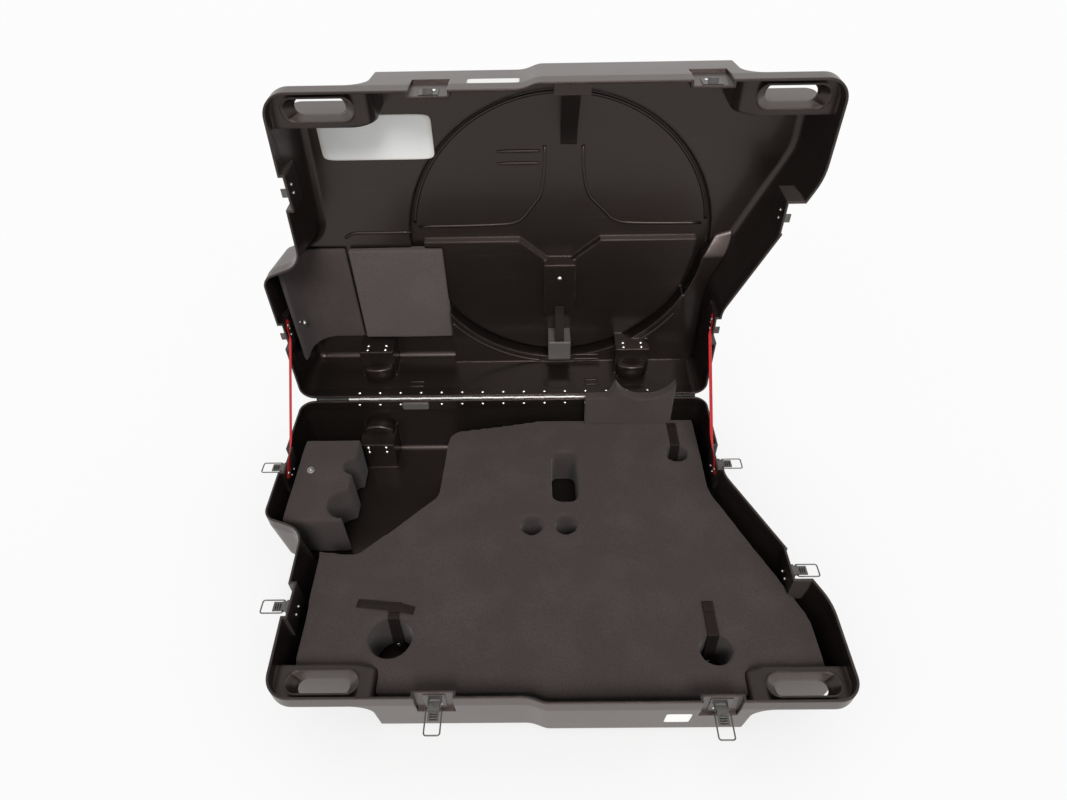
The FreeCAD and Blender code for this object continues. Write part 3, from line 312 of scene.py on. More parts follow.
class CaseSizes(bpy.types.PropertyGroup):
    """The sizes of what is added to the frame."""

    foam_cell: length("Foam mesh", "Spacing of the points on the thick foam", 5 * MM)
    sheet_cell: length("Sheet mesh", "Spacing of the points on the thin foam", 3.4 * MM)
    foam_swell: length("Foam swell", "How far the foam rises and falls", 0.9 * MM)
    foam_wave: length("Foam wave", "Distance between two rises in the foam", 260 * MM)
    foam_soften: IntProperty(name="Foam softening", description="Rounding passes on cut edges", default=9)
    strap_thickness: length("Strap thickness", "Thickness of the black webbing", 2 * MM)
    stay_thickness: length("Stay thickness", "Thickness of the red webbing", 1.6 * MM)
    stay_width: length("Stay width", "Width of the red webbing", 18 * MM)
    stay_end: length("Stay end", "How far a stay runs past its studs", 12 * MM)
    stay_twist: angle("Stay twist", "Turn of each stay between its ends", 38)
    rivet_radius: length("Rivet radius", "Heads on the latches and keepers", 4 * MM)
    rivet_height: length("Rivet height", "How far those heads stand out", 2 * MM)
    rivet_spread: length("Rivet spread", "Half the distance between the two rivets of a latch", 10 * MM)
    plate_rivet_rise: length("Plate rivet height", "From a latch plate's foot to its rivets", 14.1 * MM)
    keeper_rivet_rise: length("Keeper rivet height", "From a keeper's edge to its rivets", 23 * MM)
    plate_thickness: length("Plate thickness", "Sheet of the latch plates and keepers", 2 * MM)
    foam_washer_radius: length("Bar washer", "Washer that holds the bar block", 12 * MM)
    liner_washer_radius: length("Liner washer", "Washer that holds the liner", 10 * MM)
    washer_height: length("Washer height", "How far the bar block's washer stands out", 2 * MM)
    liner_washer_height: length("Liner washer height", "How far the liner's round head stands out", 7 * MM)
    bead_width: length("Bead width", "Width of the moulded lines in the lid", 8 * MM)
    bead_height: length("Bead height", "How far the moulded lines stand out", 3.5 * MM)
    drum_width: length("Drum width", "Half the width of the round covers over the casters", 44 * MM)
    drum_bulge: length("Drum bulge", "How far those covers stand out from the casters' pads", 30 * MM)
    drum_height: length("Drum height", "Height of those covers above the hinge wall", 47 * MM)
    seal_radius: length("Seal radius", "Radius of the rubber beads beyond the hinge's ends", 4.1 * MM)
    seal_margin: length("Seal margin", "How far a bead stops short of the hinge", 1 * MM)
    edge_radius: length("Edge radius", "How round the moulded edges look", 8 * MM)
    trim_radius: length("Trim radius", "How round the edges of small moulded parts look", 1 * MM)
    frame_strap_width: length("Frame strap width", "Width of the straps in the floor's holes", 25 * MM)
    cross_strap_width: length("Cross strap width", "Width of the strap across the front left hole", 20 * MM)
    label_thickness: length("Label thickness", "Thickness of the blank stickers", 0.8 * MM)
    hub_radius: length("Hub radius", "Radius of the casters' hub caps", 22 * MM)
    hub_bore: length("Hub bore", "Radius of the hole in the hub caps", 4.6 * MM)
    hub_rise: length("Hub rise", "How far the hub caps stand out", 0.9 * MM)


class CaseStage(bpy.types.PropertyGroup):
    """The camera, the light and the floor."""

    eye: FloatVectorProperty(
        name="Camera place", description="Where the camera stands", default=(0.025, -0.983, 1.541),
        unit="LENGTH",
    )
    pitch: angle("Pitch", "Turn of the camera up from straight down", 45.85)
    yaw: angle("Yaw", "Turn of the camera to the left", 0.79)
    roll: angle("Roll", "Turn of the camera about its view", -1.22)
    lens: FloatProperty(name="Lens", description="Focal length in millimetres", default=23.51)
    sky: FloatProperty(name="Sky", description="Strength of the even light", default=0.52)
    sun: FloatProperty(name="Sun", description="Strength of the soft main light", default=1.95)
    sun_angle: angle("Sun softness", "Width of the main light", 22)
    floor_lift: share("Floor white", "How much of the seen floor is plain white", 0.55)
    floor_reach: length("Floor reach", "Half the side of the floor", 30.0)


class Value:
    """A socket of a material, whose arithmetic adds Math nodes."""

    def __init__(self, nodes, socket):
        self.nodes = nodes
        self.socket = socket

    def __add__(self, other):
        return self.nodes.maths("ADD", self, other)

    def __radd__(self, other):
        return self.nodes.maths("ADD", other, self)

    def __sub__(self, other):
        return self.nodes.maths("SUBTRACT", self, other)

    def __rsub__(self, other):
        return self.nodes.maths("SUBTRACT", other, self)

    def __mul__(self, other):
        return self.nodes.maths("MULTIPLY", self, other)

    def __rmul__(self, other):
        return self.nodes.maths("MULTIPLY", other, self)


class Nodes:
    """A node tree that is filled by type, settings and sockets."""

    def __init__(self, tree):
        self.tree = tree

    def add(self, kind, settings=None, sockets=None, output=0):
        """Add a node with its settings, then the values or links of its sockets, and give one output."""
        made = self.tree.nodes.new(kind)
        for key, value in (settings or {}).items():
            setattr(made, key, value)
        for key, value in (sockets or {}).items():
            self.feed(made.inputs[key], value)
        return Value(self, made.outputs[output])

    def feed(self, socket, value):
        """Link a value into a socket, or set a plain number there."""
        if isinstance(value, Value):
            self.tree.links.new(value.socket, socket)
        else:
            socket.default_value = value

    def maths(self, operation, *values):
        """One step of arithmetic on one or two values."""
        return self.add("ShaderNodeMath", {"operation": operation}, dict(enumerate(values)))


class Finish(Nodes):
    """One procedural material, fed through its Principled shader."""

    def __init__(self, name):
        self.material = bpy.data.materials.new(name)
        self.material.use_nodes = True
        super().__init__(self.material.node_tree)
        self.shader = self.tree.nodes["Principled BSDF"]

    def set(self, **sockets):
        """Feed the shader's sockets, named with _ for a space."""
        for key, value in sockets.items():
            self.feed(self.shader.inputs[key.replace("_", " ")], value)
        return self.material

    def places(self):
        """Where a point lies on its object, in metres."""
        return self.add("ShaderNodeTexCoord", output="Object")

    def stretched(self, scales):
        """Places with each axis scaled by itself."""
        return self.add("ShaderNodeMapping", None, {"Vector": self.places(), "Scale": scales})

    def noise(self, cell, detail=2.0, places=None):
        """Soft noise whose spots are about one cell wide."""
        sockets = {"Vector": places or self.places(), "Scale": 1 / cell, "Detail": detail}
        return self.add("ShaderNodeTexNoise", None, sockets)

    def cells(self, cell):
        """Distance to the middles of random cells."""
        return self.add("ShaderNodeTexVoronoi", None, {"Vector": self.places(), "Scale": 1 / cell})

    def wave(self, value, pitch):
        """A sine of a distance that repeats after each pitch."""
        return self.maths("SINE", value * (2 * math.pi / pitch))

    def ramp(self, value, low, high):
        """A share that climbs from nothing at low to all at high."""
        settings = {"interpolation_type": "SMOOTHSTEP", "clamp": True}
        return self.add("ShaderNodeMapRange", settings, {"Value": value, "From Min": low, "From Max": high})

    def blend(self, factor, first, second):
        """A colour between two others."""
        sockets = {0: factor, 6: first, 7: second}
        return self.add("ShaderNodeMix", {"data_type": "RGBA"}, sockets, output=2)

    def bump(self, height, strength, depth, normal=None):
        """A normal raised by a height."""
        sockets = {"Height": height, "Strength": strength, "Distance": depth}
        if normal:
            sockets["Normal"] = normal
        return self.add("ShaderNodeBump", None, sockets)

    def dot(self, first, second):
        """The dot product of two vectors."""
        sockets = {0: first, 1: second}
        return self.add("ShaderNodeVectorMath", {"operation": "DOT_PRODUCT"}, sockets, output="Value")

    def rounded(self, radius):
        """The normal of an edge as if it were rounded, and how much of an edge it is."""
        soft = self.add("ShaderNodeBevel", {"samples": 6}, {"Radius": radius})
        true = self.add("ShaderNodeNewGeometry", output="Normal")
        return soft, self.ramp(1 - self.dot(soft, true), low=0.02, high=0.22)

    def outside(self, middle):
        """All where a face looks away from a middle, and none where it looks towards it."""
        away = self.add("ShaderNodeVectorMath", {"operation": "SUBTRACT"}, {0: self.places(), 1: middle})
        facing = self.add("ShaderNodeTexCoord", output="Normal")
        return self.ramp(self.dot(away, facing), low=0, high=OUTSIDE_FADE)


def solid(values, strength=1.0):
    """A colour with its alpha, made brighter or darker."""
    return tuple(value * strength for value in values) + (1.0,)


def moulded_plastic(name, base, pale, radius, outer=None, middle=None):
    """Grained black plastic: fine grain, soft patches of gloss, and edges rubbed pale.

    A shell has a middle, and what looks away from it is its outside: duller and pebbled, and paler as a
    painted reflection of the bright floor and surroundings.
    """
    scuff_share, rub_share = 0.10, 0.55
    plain_rough, patch_rough, scuff_rough, edge_rough, outside_rough = 0.30, 0.13, 0.08, -0.10, 0.10
    grain_height, pit_height, pebble_height, bump_share = 0.6, 0.4, 1.6, 0.16
    finish = Finish(name)
    normal, edge = finish.rounded(radius)
    patches = finish.noise(PLASTIC_PATCH, detail=3.0)
    streaks = finish.noise(1.0, detail=4.0, places=finish.stretched(SCUFF_STRETCH))
    scuffs = finish.ramp(streaks, low=0.60, high=0.74)
    rubbed = finish.ramp(finish.noise(PLASTIC_RUB, detail=3.0), low=0.38, high=0.66) * edge * rub_share
    tone = finish.blend(patches, solid(base, strength=0.82), solid(base, strength=1.20))
    tone = finish.blend(scuffs * scuff_share, tone, solid(pale))
    tone = finish.blend(rubbed, tone, solid(pale))
    rough = plain_rough + patches * patch_rough + scuffs * scuff_rough + edge * edge_rough
    height = finish.noise(PLASTIC_GRAIN, detail=2.0) * grain_height + finish.cells(PLASTIC_PIT) * pit_height
    if outer:
        out = finish.outside(middle)
        # Painted reflection: the outside gets a paler tone that stands in for the bright surroundings its
        # faces reflect; its pebbles and dullness are real.
        worn_and_painted_light = finish.blend(patches, solid(outer, strength=0.8), solid(outer, strength=1.2))
        tone = finish.blend(out * (1 - rubbed), tone, worn_and_painted_light)
        rough = rough + out * outside_rough
        height = height + out * finish.cells(PLASTIC_PEBBLE) * pebble_height
    return finish.set(
        Base_Color=tone, Roughness=rough, Specular_IOR_Level=0.42, Specular_Tint=WARM_GLOSS,
        Coat_Weight=0.3, Coat_Roughness=0.16,
        Normal=finish.bump(height, bump_share, PLASTIC_DEPTH, normal),
    )


def cut_foam(name, base, pale):
    """Closed-cell foam: dull, finely pored, with dusty patches and pressed marks."""
    dust_share, spot_share, mark_share = 0.55, 0.4, 0.5
    plain_rough, speckle_rough = 0.88, 0.1
    pore_height, speckle_height, grain_height, bump_share = 0.7, 0.5, 0.4, 0.55
    finish = Finish(name)
    speckle = finish.noise(FOAM_SPECKLE, detail=1.0)
    grain = finish.noise(FOAM_GRAIN, detail=3.0)
    dust = finish.ramp(finish.noise(FOAM_PATCH, detail=4.0), low=0.40, high=0.72)
    spots = finish.ramp(speckle, low=0.35, high=0.75)
    marks = finish.ramp(grain, low=0.44, high=0.66)
    tone = finish.blend(dust * dust_share, solid(base), solid(pale))
    tone = finish.blend(spots * spot_share, tone, solid(base, strength=0.62))
    tone = finish.blend(marks * mark_share, tone, solid(base, strength=0.66))
    height = finish.cells(FOAM_PORE) * pore_height + speckle * speckle_height + grain * grain_height
    return finish.set(
        Base_Color=tone, Roughness=plain_rough + speckle * speckle_rough, Specular_IOR_Level=0.25,
        Sheen_Weight=0.12, Sheen_Roughness=0.5,
        Normal=finish.bump(height, bump_share, FOAM_DEPTH),
    )


def woven_webbing(name, base, pitch, gloss, seam):
    """Flat webbing: crossing yarns in a herringbone, from the strap's own map in metres, with painted
    highlight on the yarns' ridges and painted shade in their low parts.

    Two rows of stitches run along the strap, each a seam's distance from its middle.
    """
    zigzag_pitches, stitch_pitches = 4, 3
    ridge_share, row_share, middle_share = 0.35, 0.15, 0.5
    wear_share, wear_rough, stitch_share, bump_share = 0.35, 0.12, 0.8, 0.7
    finish = Finish(name)
    own = finish.add("ShaderNodeUVMap")
    along = finish.add("ShaderNodeSeparateXYZ", None, {0: own}, output="X")
    across = finish.add("ShaderNodeSeparateXYZ", None, {0: own}, output="Y")
    zigzag = finish.maths("PINGPONG", across, zigzag_pitches * pitch)
    ridges = finish.wave(along + zigzag, pitch)
    yarn = ridges * ridge_share + finish.wave(across, pitch) * row_share + middle_share
    wear = finish.noise(YARN_WEAR, detail=3.0)
    worn_and_painted_light = finish.ramp(wear, low=0.5, high=0.8)
    # Painted highlight and painted shade: the tone follows the yarns' height, lighter on the ridges and
    # darker in the low parts.
    tone = finish.blend(yarn, solid(base, strength=0.55), solid(base, strength=1.35))
    tone = finish.blend(worn_and_painted_light * wear_share, tone, solid(base, strength=1.8))
    off = finish.maths("ABSOLUTE", finish.maths("ABSOLUTE", across) - seam)
    beat = finish.ramp(finish.wave(along, stitch_pitches * pitch), low=-0.4, high=-0.1)
    stitch = finish.ramp(off, low=STITCH_EDGE, high=STITCH_CORE) * beat
    tone = finish.blend(stitch * stitch_share, tone, solid(base, strength=2.6))
    return finish.set(
        Base_Color=tone, Roughness=gloss + wear * wear_rough, Specular_IOR_Level=0.25,
        Specular_Tint=WARM_GLOSS, Normal=finish.bump(yarn + stitch * stitch_share, bump_share, YARN_DEPTH),
    )


def plated_metal(name, base, gloss, radius):
    """Plated metal: fine drawn lines, cloudy gloss and darker grime away from the edges."""
    grime_share, cloud_rough, line_rough, bump_share = 0.45, 0.16, 0.06, 0.12
    finish = Finish(name)
    normal, edge = finish.rounded(radius)
    lines = finish.noise(1.0, detail=2.0, places=finish.stretched(DRAWN_STRETCH))
    clouds = finish.noise(METAL_CLOUD, detail=3.0)
    grime = finish.ramp(clouds, low=0.45, high=0.8) * (1 - edge) * grime_share
    tone = finish.blend(grime, solid(base), solid(base, strength=0.35))
    return finish.set(
        Base_Color=tone, Metallic=1.0, Roughness=gloss + clouds * cloud_rough + lines * line_rough,
        Normal=finish.bump(lines, bump_share, METAL_DEPTH, normal),
    )


def tread_rubber(name, base):
    """Hard rubber: matt, dusty, with fine moulding lines round the tread."""
    dust_share, plain_rough, dust_rough, dust_height, bump_share = 0.6, 0.62, 0.25, 0.4, 0.35
    finish = Finish(name)
    dust = finish.noise(RUBBER_DUST, detail=4.0)
    rings = finish.noise(1.0, detail=1.0, places=finish.stretched(RING_STRETCH))
    dusty = finish.ramp(dust, low=0.45, high=0.75)
    tone = finish.blend(dusty * dust_share, solid(base), solid(base, strength=3.2))
    return finish.set(
        Base_Color=tone, Roughness=plain_rough + dust * dust_rough,
        Normal=finish.bump(rings + dust * dust_height, bump_share, RUBBER_DEPTH),
    )


def blank_paper(name, base):
    """A blank coated sticker, smudged here and there, and yellowed and dirty towards its edges."""
    yellow_shares = (0.7, 0.64, 0.52)
    smudge_share, rim_share, rim_waver, bump_share = 0.2, 0.5, 0.06, 0.08
    plain_rough, fibre_rough = 0.38, 0.15
    finish = Finish(name)
    own = finish.add("ShaderNodeUVMap")
    outwards = finish.add("ShaderNodeSeparateXYZ", None, {0: own}, output="X")
    fibre = finish.noise(PAPER_FIBRE, detail=2.0)
    smudge = finish.noise(PAPER_SMUDGE, detail=4.0)
    smudged = finish.ramp(smudge, low=0.5, high=0.85)
    rim = finish.ramp(outwards + smudge * rim_waver, low=0.93, high=1.03)
    tone = finish.blend(smudged * smudge_share, solid(base), solid(base, strength=0.8))
    tone = finish.blend(rim * rim_share, tone, solid(np.multiply(base, yellow_shares)))
    return finish.set(
        Base_Color=tone, Roughness=plain_rough + fibre * fibre_rough,
        Normal=finish.bump(fibre, bump_share, PAPER_DEPTH),
    )


def seen_rays(nodes):
    """One where a ray comes from the camera, a reflection or a clear body, and none elsewhere."""
    seen = nodes.add("ShaderNodeLightPath", output="Is Camera Ray")
    seen = seen + nodes.add("ShaderNodeLightPath", output="Is Glossy Ray")
    return seen + nodes.add("ShaderNodeLightPath", output="Is Transmission Ray")


def pale_floor(name, base, lift):
    """A plain matt floor with a very faint unevenness, part of it plain white where it is seen."""
    finish = Finish(name)
    cloud = finish.noise(FLOOR_CLOUD, detail=2.0)
    tone = finish.blend(cloud, solid(base, strength=0.99), solid(base))
    finish.set(Base_Color=tone, Roughness=0.9, Specular_IOR_Level=0.1)
    white = finish.add("ShaderNodeEmission", None, {"Color": WHITE, "Strength": 1.0})
    lit = Value(finish, finish.shader.outputs["BSDF"])
    both = finish.add("ShaderNodeMixShader", None, {0: seen_rays(finish) * lift, 1: lit, 2: white})
    finish.feed(finish.tree.nodes["Material Output"].inputs["Surface"], both)
    return finish.material


def finish_nodes(names, material):
    """Give nodes of the frame a material in place of their plain one."""
    for name in names:
        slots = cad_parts[name].data.materials
        slots.clear()
        slots.append(material)


def build(name, patches, material, body):
    """One mesh of grid patches: quads between neighbours of each grid, with seams and poles merged.

    A patch is (points, map): points has a row and a column for its two parameters, and map has its u and v.
    """
    points = np.concatenate([grid.reshape(-1, 3) for grid, flat in patches])
    flats = np.concatenate([flat.reshape(-1, 2) for grid, flat in patches])
    faces = []
    start = 0
    for grid, flat in patches:
        rows, columns = grid.shape[:2]
        index = start + np.arange(rows * columns).reshape(rows, columns)
        corners = (index[:-1, :-1], index[1:, :-1], index[1:, 1:], index[:-1, 1:])
        faces.append(np.stack(corners, -1).reshape(-1, 4))
        start += rows * columns
    faces = np.concatenate(faces)
    mesh = bpy.data.meshes.new(name)
    mesh.from_pydata(points.tolist(), [], faces.tolist())
    layer = mesh.uv_layers.new(name="UVMap")
    layer.data.foreach_set("uv", flats[faces.ravel()].ravel())
    form = bmesh.new()
    form.from_mesh(mesh)
    bmesh.ops.remove_doubles(form, verts=form.verts, dist=MERGE_GAP)
    bmesh.ops.dissolve_degenerate(form, edges=form.edges, dist=THIN_FACE)
    bmesh.ops.recalc_face_normals(form, faces=form.faces)
    form.to_mesh(mesh)
    form.free()
    mesh.shade_smooth()
    mesh.materials.append(material)
    piece = bpy.data.objects.new(name, mesh)
    bpy.context.scene.collection.objects.link(piece)
    if body:
        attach(piece, body)
    return piece


def revolve(profile, centre, axis, steps=24):
    """A profile of (radius, height) turned round an axis: centre + radius (cos e1 + sin e2) + height e3."""
    axis = np.asarray(axis, float) / np.linalg.norm(axis)
    first = np.cross(axis, X_WAY if np.abs(axis).argmax() else Y_WAY)
    first /= np.linalg.norm(first)
    second = np.cross(axis, first)
    turn = np.linspace(0, 2 * math.pi, steps + 1)
    ring = np.cos(turn)[:, None] * first + np.sin(turn)[:, None] * second
    profile = np.asarray(profile, float)
    points = centre + profile[:, 0][:, None, None] * ring[None] + profile[:, 1][:, None, None] * axis
    flat = np.stack(np.broadcast_arrays(turn[None] / (2 * math.pi), profile[:, 1][:, None]), -1)
    return points, flat


def dome_profile(radius, height, steps=7):
    """A rivet's head: a quarter ellipse from the crown down to the rim, then back along the seat."""
    turn = np.linspace(0, math.pi / 2, steps)
    crown = np.stack([radius * np.sin(turn), height * np.cos(turn)], -1)
    return np.concatenate([crown, [(0.0, 0.0)]])


def squared(values, power):
    """Cosines or sines raised to a power with their sign kept, which squares off a round form."""
    return np.sign(values) * np.abs(values) ** power


def pillow(centre, sizes, ways, power=BLOCK_POWER, steps=(20, 40)):
    """A rounded block: a superellipsoid whose cosines and sines are raised to a small power.

    point = centre + a C(u) C(v) + b C(u) S(v) + c S(u), with C and S the signed powers of cosine and sine.
    """
    tilt = np.linspace(-math.pi / 2, math.pi / 2, steps[0] + 1)[:, None]
    turn = np.linspace(0, 2 * math.pi, steps[1] + 1)[None]
    level = squared(np.cos(tilt), power)
    rise = squared(np.sin(tilt), power) + 0 * turn
    parts = (level * squared(np.cos(turn), power), level * squared(np.sin(turn), power), rise)
    points = np.asarray(centre, float) + sum(
        part[..., None] * np.asarray(way, float) * (size / 2) for part, way, size in zip(parts, ways, sizes)
    )
    flat = np.stack([np.abs(parts[0]), np.abs(parts[1])], -1)
    return points, flat


def plate(centre, sizes, ways, power=STICKER_POWER, steps=96):
    """A flat sticker with round corners: a superellipse outline shrunk to its middle on both faces.

    point = centre + s (a C(v) + b S(v)) + h, with C and S the signed powers of cosine and sine.
    """
    turn = np.linspace(0, 2 * math.pi, steps + 1)
    outline = (squared(np.cos(turn), power), squared(np.sin(turn), power))
    sheet = sum(
        side[:, None] * np.asarray(way, float) * (size / 2) for side, way, size in zip(outline, ways, sizes)
    )
    rise = STICKER_RISE_SHARES * sizes[2]
    points = np.asarray(centre, float) + STICKER_SHRINK_SHARES[:, None, None] * sheet[None]
    points = points + rise[:, None, None] * np.asarray(ways[2], float)
    flat = np.stack(np.broadcast_arrays(STICKER_SHRINK_SHARES[:, None], turn[None]), -1)
    return points, flat


def drum(back, width, bulge, height, forward, up, steps=64):
    """A half-round cover with a flat back: a half ellipse carried up and drawn in round at the top.

    point = back + s(u) (width cos v x + bulge max(sin v, 0) forward) + h(u) up.
    """
    turn = np.linspace(0, 2 * math.pi, steps + 1)
    outline = width * np.cos(turn)[:, None] * X_WAY + bulge * np.maximum(np.sin(turn), 0)[:, None] * forward
    bend = np.linspace(0, math.pi / 2, 7)
    shrink = np.concatenate([[0, 1], 1 - DRUM_ROUND_SHARE * (1 - np.cos(bend)), [0]])
    rise = np.concatenate([[0, 0], height - DRUM_ROUND_SHARE * bulge * (1 - np.sin(bend)), [height]])
    points = back + shrink[:, None, None] * outline[None] + rise[:, None, None] * up
    return points, np.stack(np.broadcast_arrays(shrink[:, None], turn[None]), -1)


def band(path, across, width, thickness, power=STRAP_POWER, steps=24):
    """A strap or rib: a flattened superellipse carried along a path, with closed ends.

    point = path(u) + across(u) a(v) + through(u) b(v), with through square to the path and to across.
    """
    path = np.asarray(path, float)
    way = np.gradient(path, axis=0)
    way /= np.linalg.norm(way, axis=1)[:, None]
    across = np.broadcast_to(np.asarray(across, float), path.shape)
    across = across - (across * way).sum(1)[:, None] * way
    across = across / np.linalg.norm(across, axis=1)[:, None]
    through = np.cross(way, across)
    turn = np.linspace(0, 2 * math.pi, steps + 1)
    sides = (squared(np.cos(turn), power) * width / 2, squared(np.sin(turn), power) * thickness / 2)
    order = np.concatenate([[0], np.arange(len(path)), [len(path) - 1]])
    fill = np.ones(len(order))
    fill[[0, -1]] = 0
    section = fill[:, None, None] * np.stack(sides, -1)[None]
    points = path[order][:, None] + across[order][:, None] * section[..., :1]
    points = points + through[order][:, None] * section[..., 1:]
    run = np.concatenate([[0], np.cumsum(np.linalg.norm(np.diff(path, axis=0), axis=1))])[order]
    flat = np.stack(np.broadcast_arrays(run[:, None], section[..., 0]), -1)
    return points, flat


def smooth_route(corners, steps):
    """Points along a route with rounded corners: a quadratic B-spline with the corners as control points."""
    corners = np.asarray(corners, float)
    ends = np.concatenate([corners[:1], (corners[1:-2] + corners[2:-1]) / 2, corners[-1:]])
    along = np.linspace(0, 1, steps)[None, :, None]
    first, middle, last = ends[:-1, None], corners[1:-1, None], ends[1:, None]
    arcs = (1 - along) ** 2 * first + 2 * along * (1 - along) * middle + along ** 2 * last
    route = arcs.reshape(-1, 3)
    keep = np.concatenate([[True], np.linalg.norm(np.diff(route, axis=0), axis=1) > MERGE_GAP])
    return route[keep]


def ease(values):
    """A share that leaves 0 and reaches 1 gently: 3 s^2 - 2 s^3, with s held between 0 and 1."""
    values = np.clip(values, 0, 1)
    return values ** 2 * (3 - 2 * values)


def bead(path, facing, width, height):
    """A moulded line: a half-sunk ellipse carried along a path that lies on a face."""
    path = np.asarray(path, float)
    across = np.cross(np.gradient(path, axis=0), np.asarray(facing, float))
    return band(path, across, width, 2 * height, power=ROUND_POWER)


def arc(middle, radius, first, last, depth, steps=60):
    """Points round a middle in the lid's plane: x + radius cos, depth, z + radius sin."""
    turn = np.radians(np.linspace(first, last, steps))
    return np.stack(
        [middle[0] + radius * np.cos(turn), depth + 0 * turn, middle[1] + radius * np.sin(turn)], -1
    )


def lid_route(depth, places, steps=14):
    """A smooth line on one level of the lid through places given in millimetres as x and z."""
    places = np.asarray(places, float) * MM
    corners = np.stack([places[:, 0], depth + 0 * places[:, 0], places[:, 1]], -1)
    return smooth_route(corners, steps)


def raised_corner():
    """The raised corner right of the lid's well: a flat face with a round left edge, and a slope above it.

    point = (x(s, z), y(s, z), z), with x from the platform or the well's circle to the wall. The slope is a
    ruled face, front edge + t (back edge - front edge), that starts with a small bend.
    """
    middle = np.array(WELL_MIDDLE) / MM
    heights = np.array(CORNER_HEIGHTS, float)
    left = middle[0] + np.sqrt(CORNER_RADIUS ** 2 - (np.maximum(heights, CORNER_JOIN) - middle[1]) ** 2)
    right = np.interp(heights, *np.transpose(CORNER_WALL))
    near = left[:, None] + np.array(CORNER_STEPS)
    rest = np.array(CORNER_REST_SHARES)
    x = np.concatenate([near, near[:, -1:] * (1 - rest) + right[:, None] * rest], 1)
    z = heights[:, None] + 0 * x
    off = x - left[:, None]
    bend = CORNER_EDGE - np.sqrt(CORNER_EDGE ** 2 - np.clip(CORNER_EDGE - off, 0, CORNER_EDGE) ** 2)
    taper = CORNER_TAPER_DROP * np.clip(1 - off / CORNER_TAPER, 0, 1)
    low = heights[:, None] < CORNER_JOIN
    front = CORNER_FRONT + np.where(low, taper, bend)
    back = np.where(low, CORNER_TUCK, CORNER_BACK) + 0 * x
    back[:, 0] = np.where(low[:, 0], CORNER_TUCK, CORNER_FOOT)
    slope = np.array(SLOPE_SHARES)[:, None]
    climb = np.clip(slope, 0, 1)
    along = (x[-1] - x[-1, 0]) / (x[-1, -1] - x[-1, 0])
    first = np.stack([np.interp(along, (0, 1), pair) for pair in np.transpose(SLOPE_FRONT)])
    run = np.stack([np.interp(along, (0, 1), pair) for pair in np.transpose(SLOPE_BACK)]) - first
    slope_x = first[0] + climb * run[0] + 4 * climb * (1 - climb) * SLOPE_WALL_BULGE * along
    slope_z = first[1] + np.minimum(slope, 0) * run[1].mean() + climb * run[1]
    curve = np.hypot(climb, SLOPE_ROUND_SHARE) - SLOPE_ROUND_SHARE
    slope_y = front[-1] + curve * (SLOPE_END - front[-1]) / curve.max()
    slope_back = np.maximum(slope_y + SLOPE_SHEET, CORNER_BACK)
    apart = np.hypot(slope_x[:, 0] - middle[0], slope_z[:, 0] - middle[1])
    slope_back[:, 0] = np.where(apart < WELL_EDGE_RADIUS, CORNER_FOOT, SLOPE_FOOT)
    x, z = np.concatenate([x, slope_x]), np.concatenate([z, slope_z])
    face = np.stack([x, np.concatenate([front, slope_y]), z], -1) * MM
    under = np.stack([x, np.concatenate([back, slope_back]), z], -1) * MM
    ring = np.concatenate([face, under[:, ::-1], face[:, :1]], 1)
    ends = [np.stack([ring[row], np.broadcast_to(ring[row].mean(0), ring[row].shape)]) for row in (0, -1)]
    return [(grid, grid[..., ::2]) for grid in (ring, *ends)]


def soft_copy(node, name, cell, passes):
    """A closed copy of a foam node, remeshed to even cells, with its cut edges rounded by smoothing."""
    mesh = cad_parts[node].data.copy()
    form = bmesh.new()
    form.from_mesh(mesh)
    bmesh.ops.remove_doubles(form, verts=form.verts, dist=MERGE_GAP)
    form.to_mesh(mesh)
    form.free()
    rough = bpy.data.objects.new(name + "_rough", mesh)
    bpy.context.scene.collection.objects.link(rough)
    even = rough.modifiers.new("even", "REMESH")
    even.mode = "VOXEL"
    even.voxel_size = cell
    soft = rough.modifiers.new("soft", "SMOOTH")
    soft.factor = SOFTEN_SHARE
    soft.iterations = passes
    graph = bpy.context.evaluated_depsgraph_get()
    made = bpy.data.meshes.new_from_object(rough.evaluated_get(graph))
    bpy.data.objects.remove(rough)
    made.name = name
    made.materials.clear()
    piece = bpy.data.objects.new(name, made)
    bpy.context.scene.collection.objects.link(piece)
    return piece


def swell(piece, rise, wave):
    """Move every point along its normal by rise times the mean of two sine waves of its place."""
    mesh = piece.data
    points = np.empty(len(mesh.vertices) * 3)
    mesh.vertices.foreach_get("co", points)
    points = points.reshape(-1, 3)
    normals = np.empty(len(mesh.vertices) * 3)
    mesh.vertex_normals.foreach_get("vector", normals)
    normals = normals.reshape(-1, 3)
    phase = points * (2 * math.pi / wave)
    height = np.sin(phase @ np.transpose(SWELL_SHARES) + SWELL_SHIFTS).mean(1)
    points = points + normals * height[:, None] * rise
    mesh.vertices.foreach_set("co", points.ravel())
    mesh.update()
    mesh.shade_smooth()


def wall_ways(name, front, side):
    """The way a latch or keeper faces on its wall, and the way along that wall."""
    if name.startswith("front"):
        return front, X_WAY
    return (-X_WAY if name.endswith("left") else X_WAY), side


class CaseStep(bpy.types.Operator):
    """What the operators of the case share."""

    bl_options = {"REGISTER", "UNDO"}

    @property
    def colours(self):
        return bpy.context.scene.case_colours

    @property
    def sizes(self):
        return bpy.context.scene.case_sizes


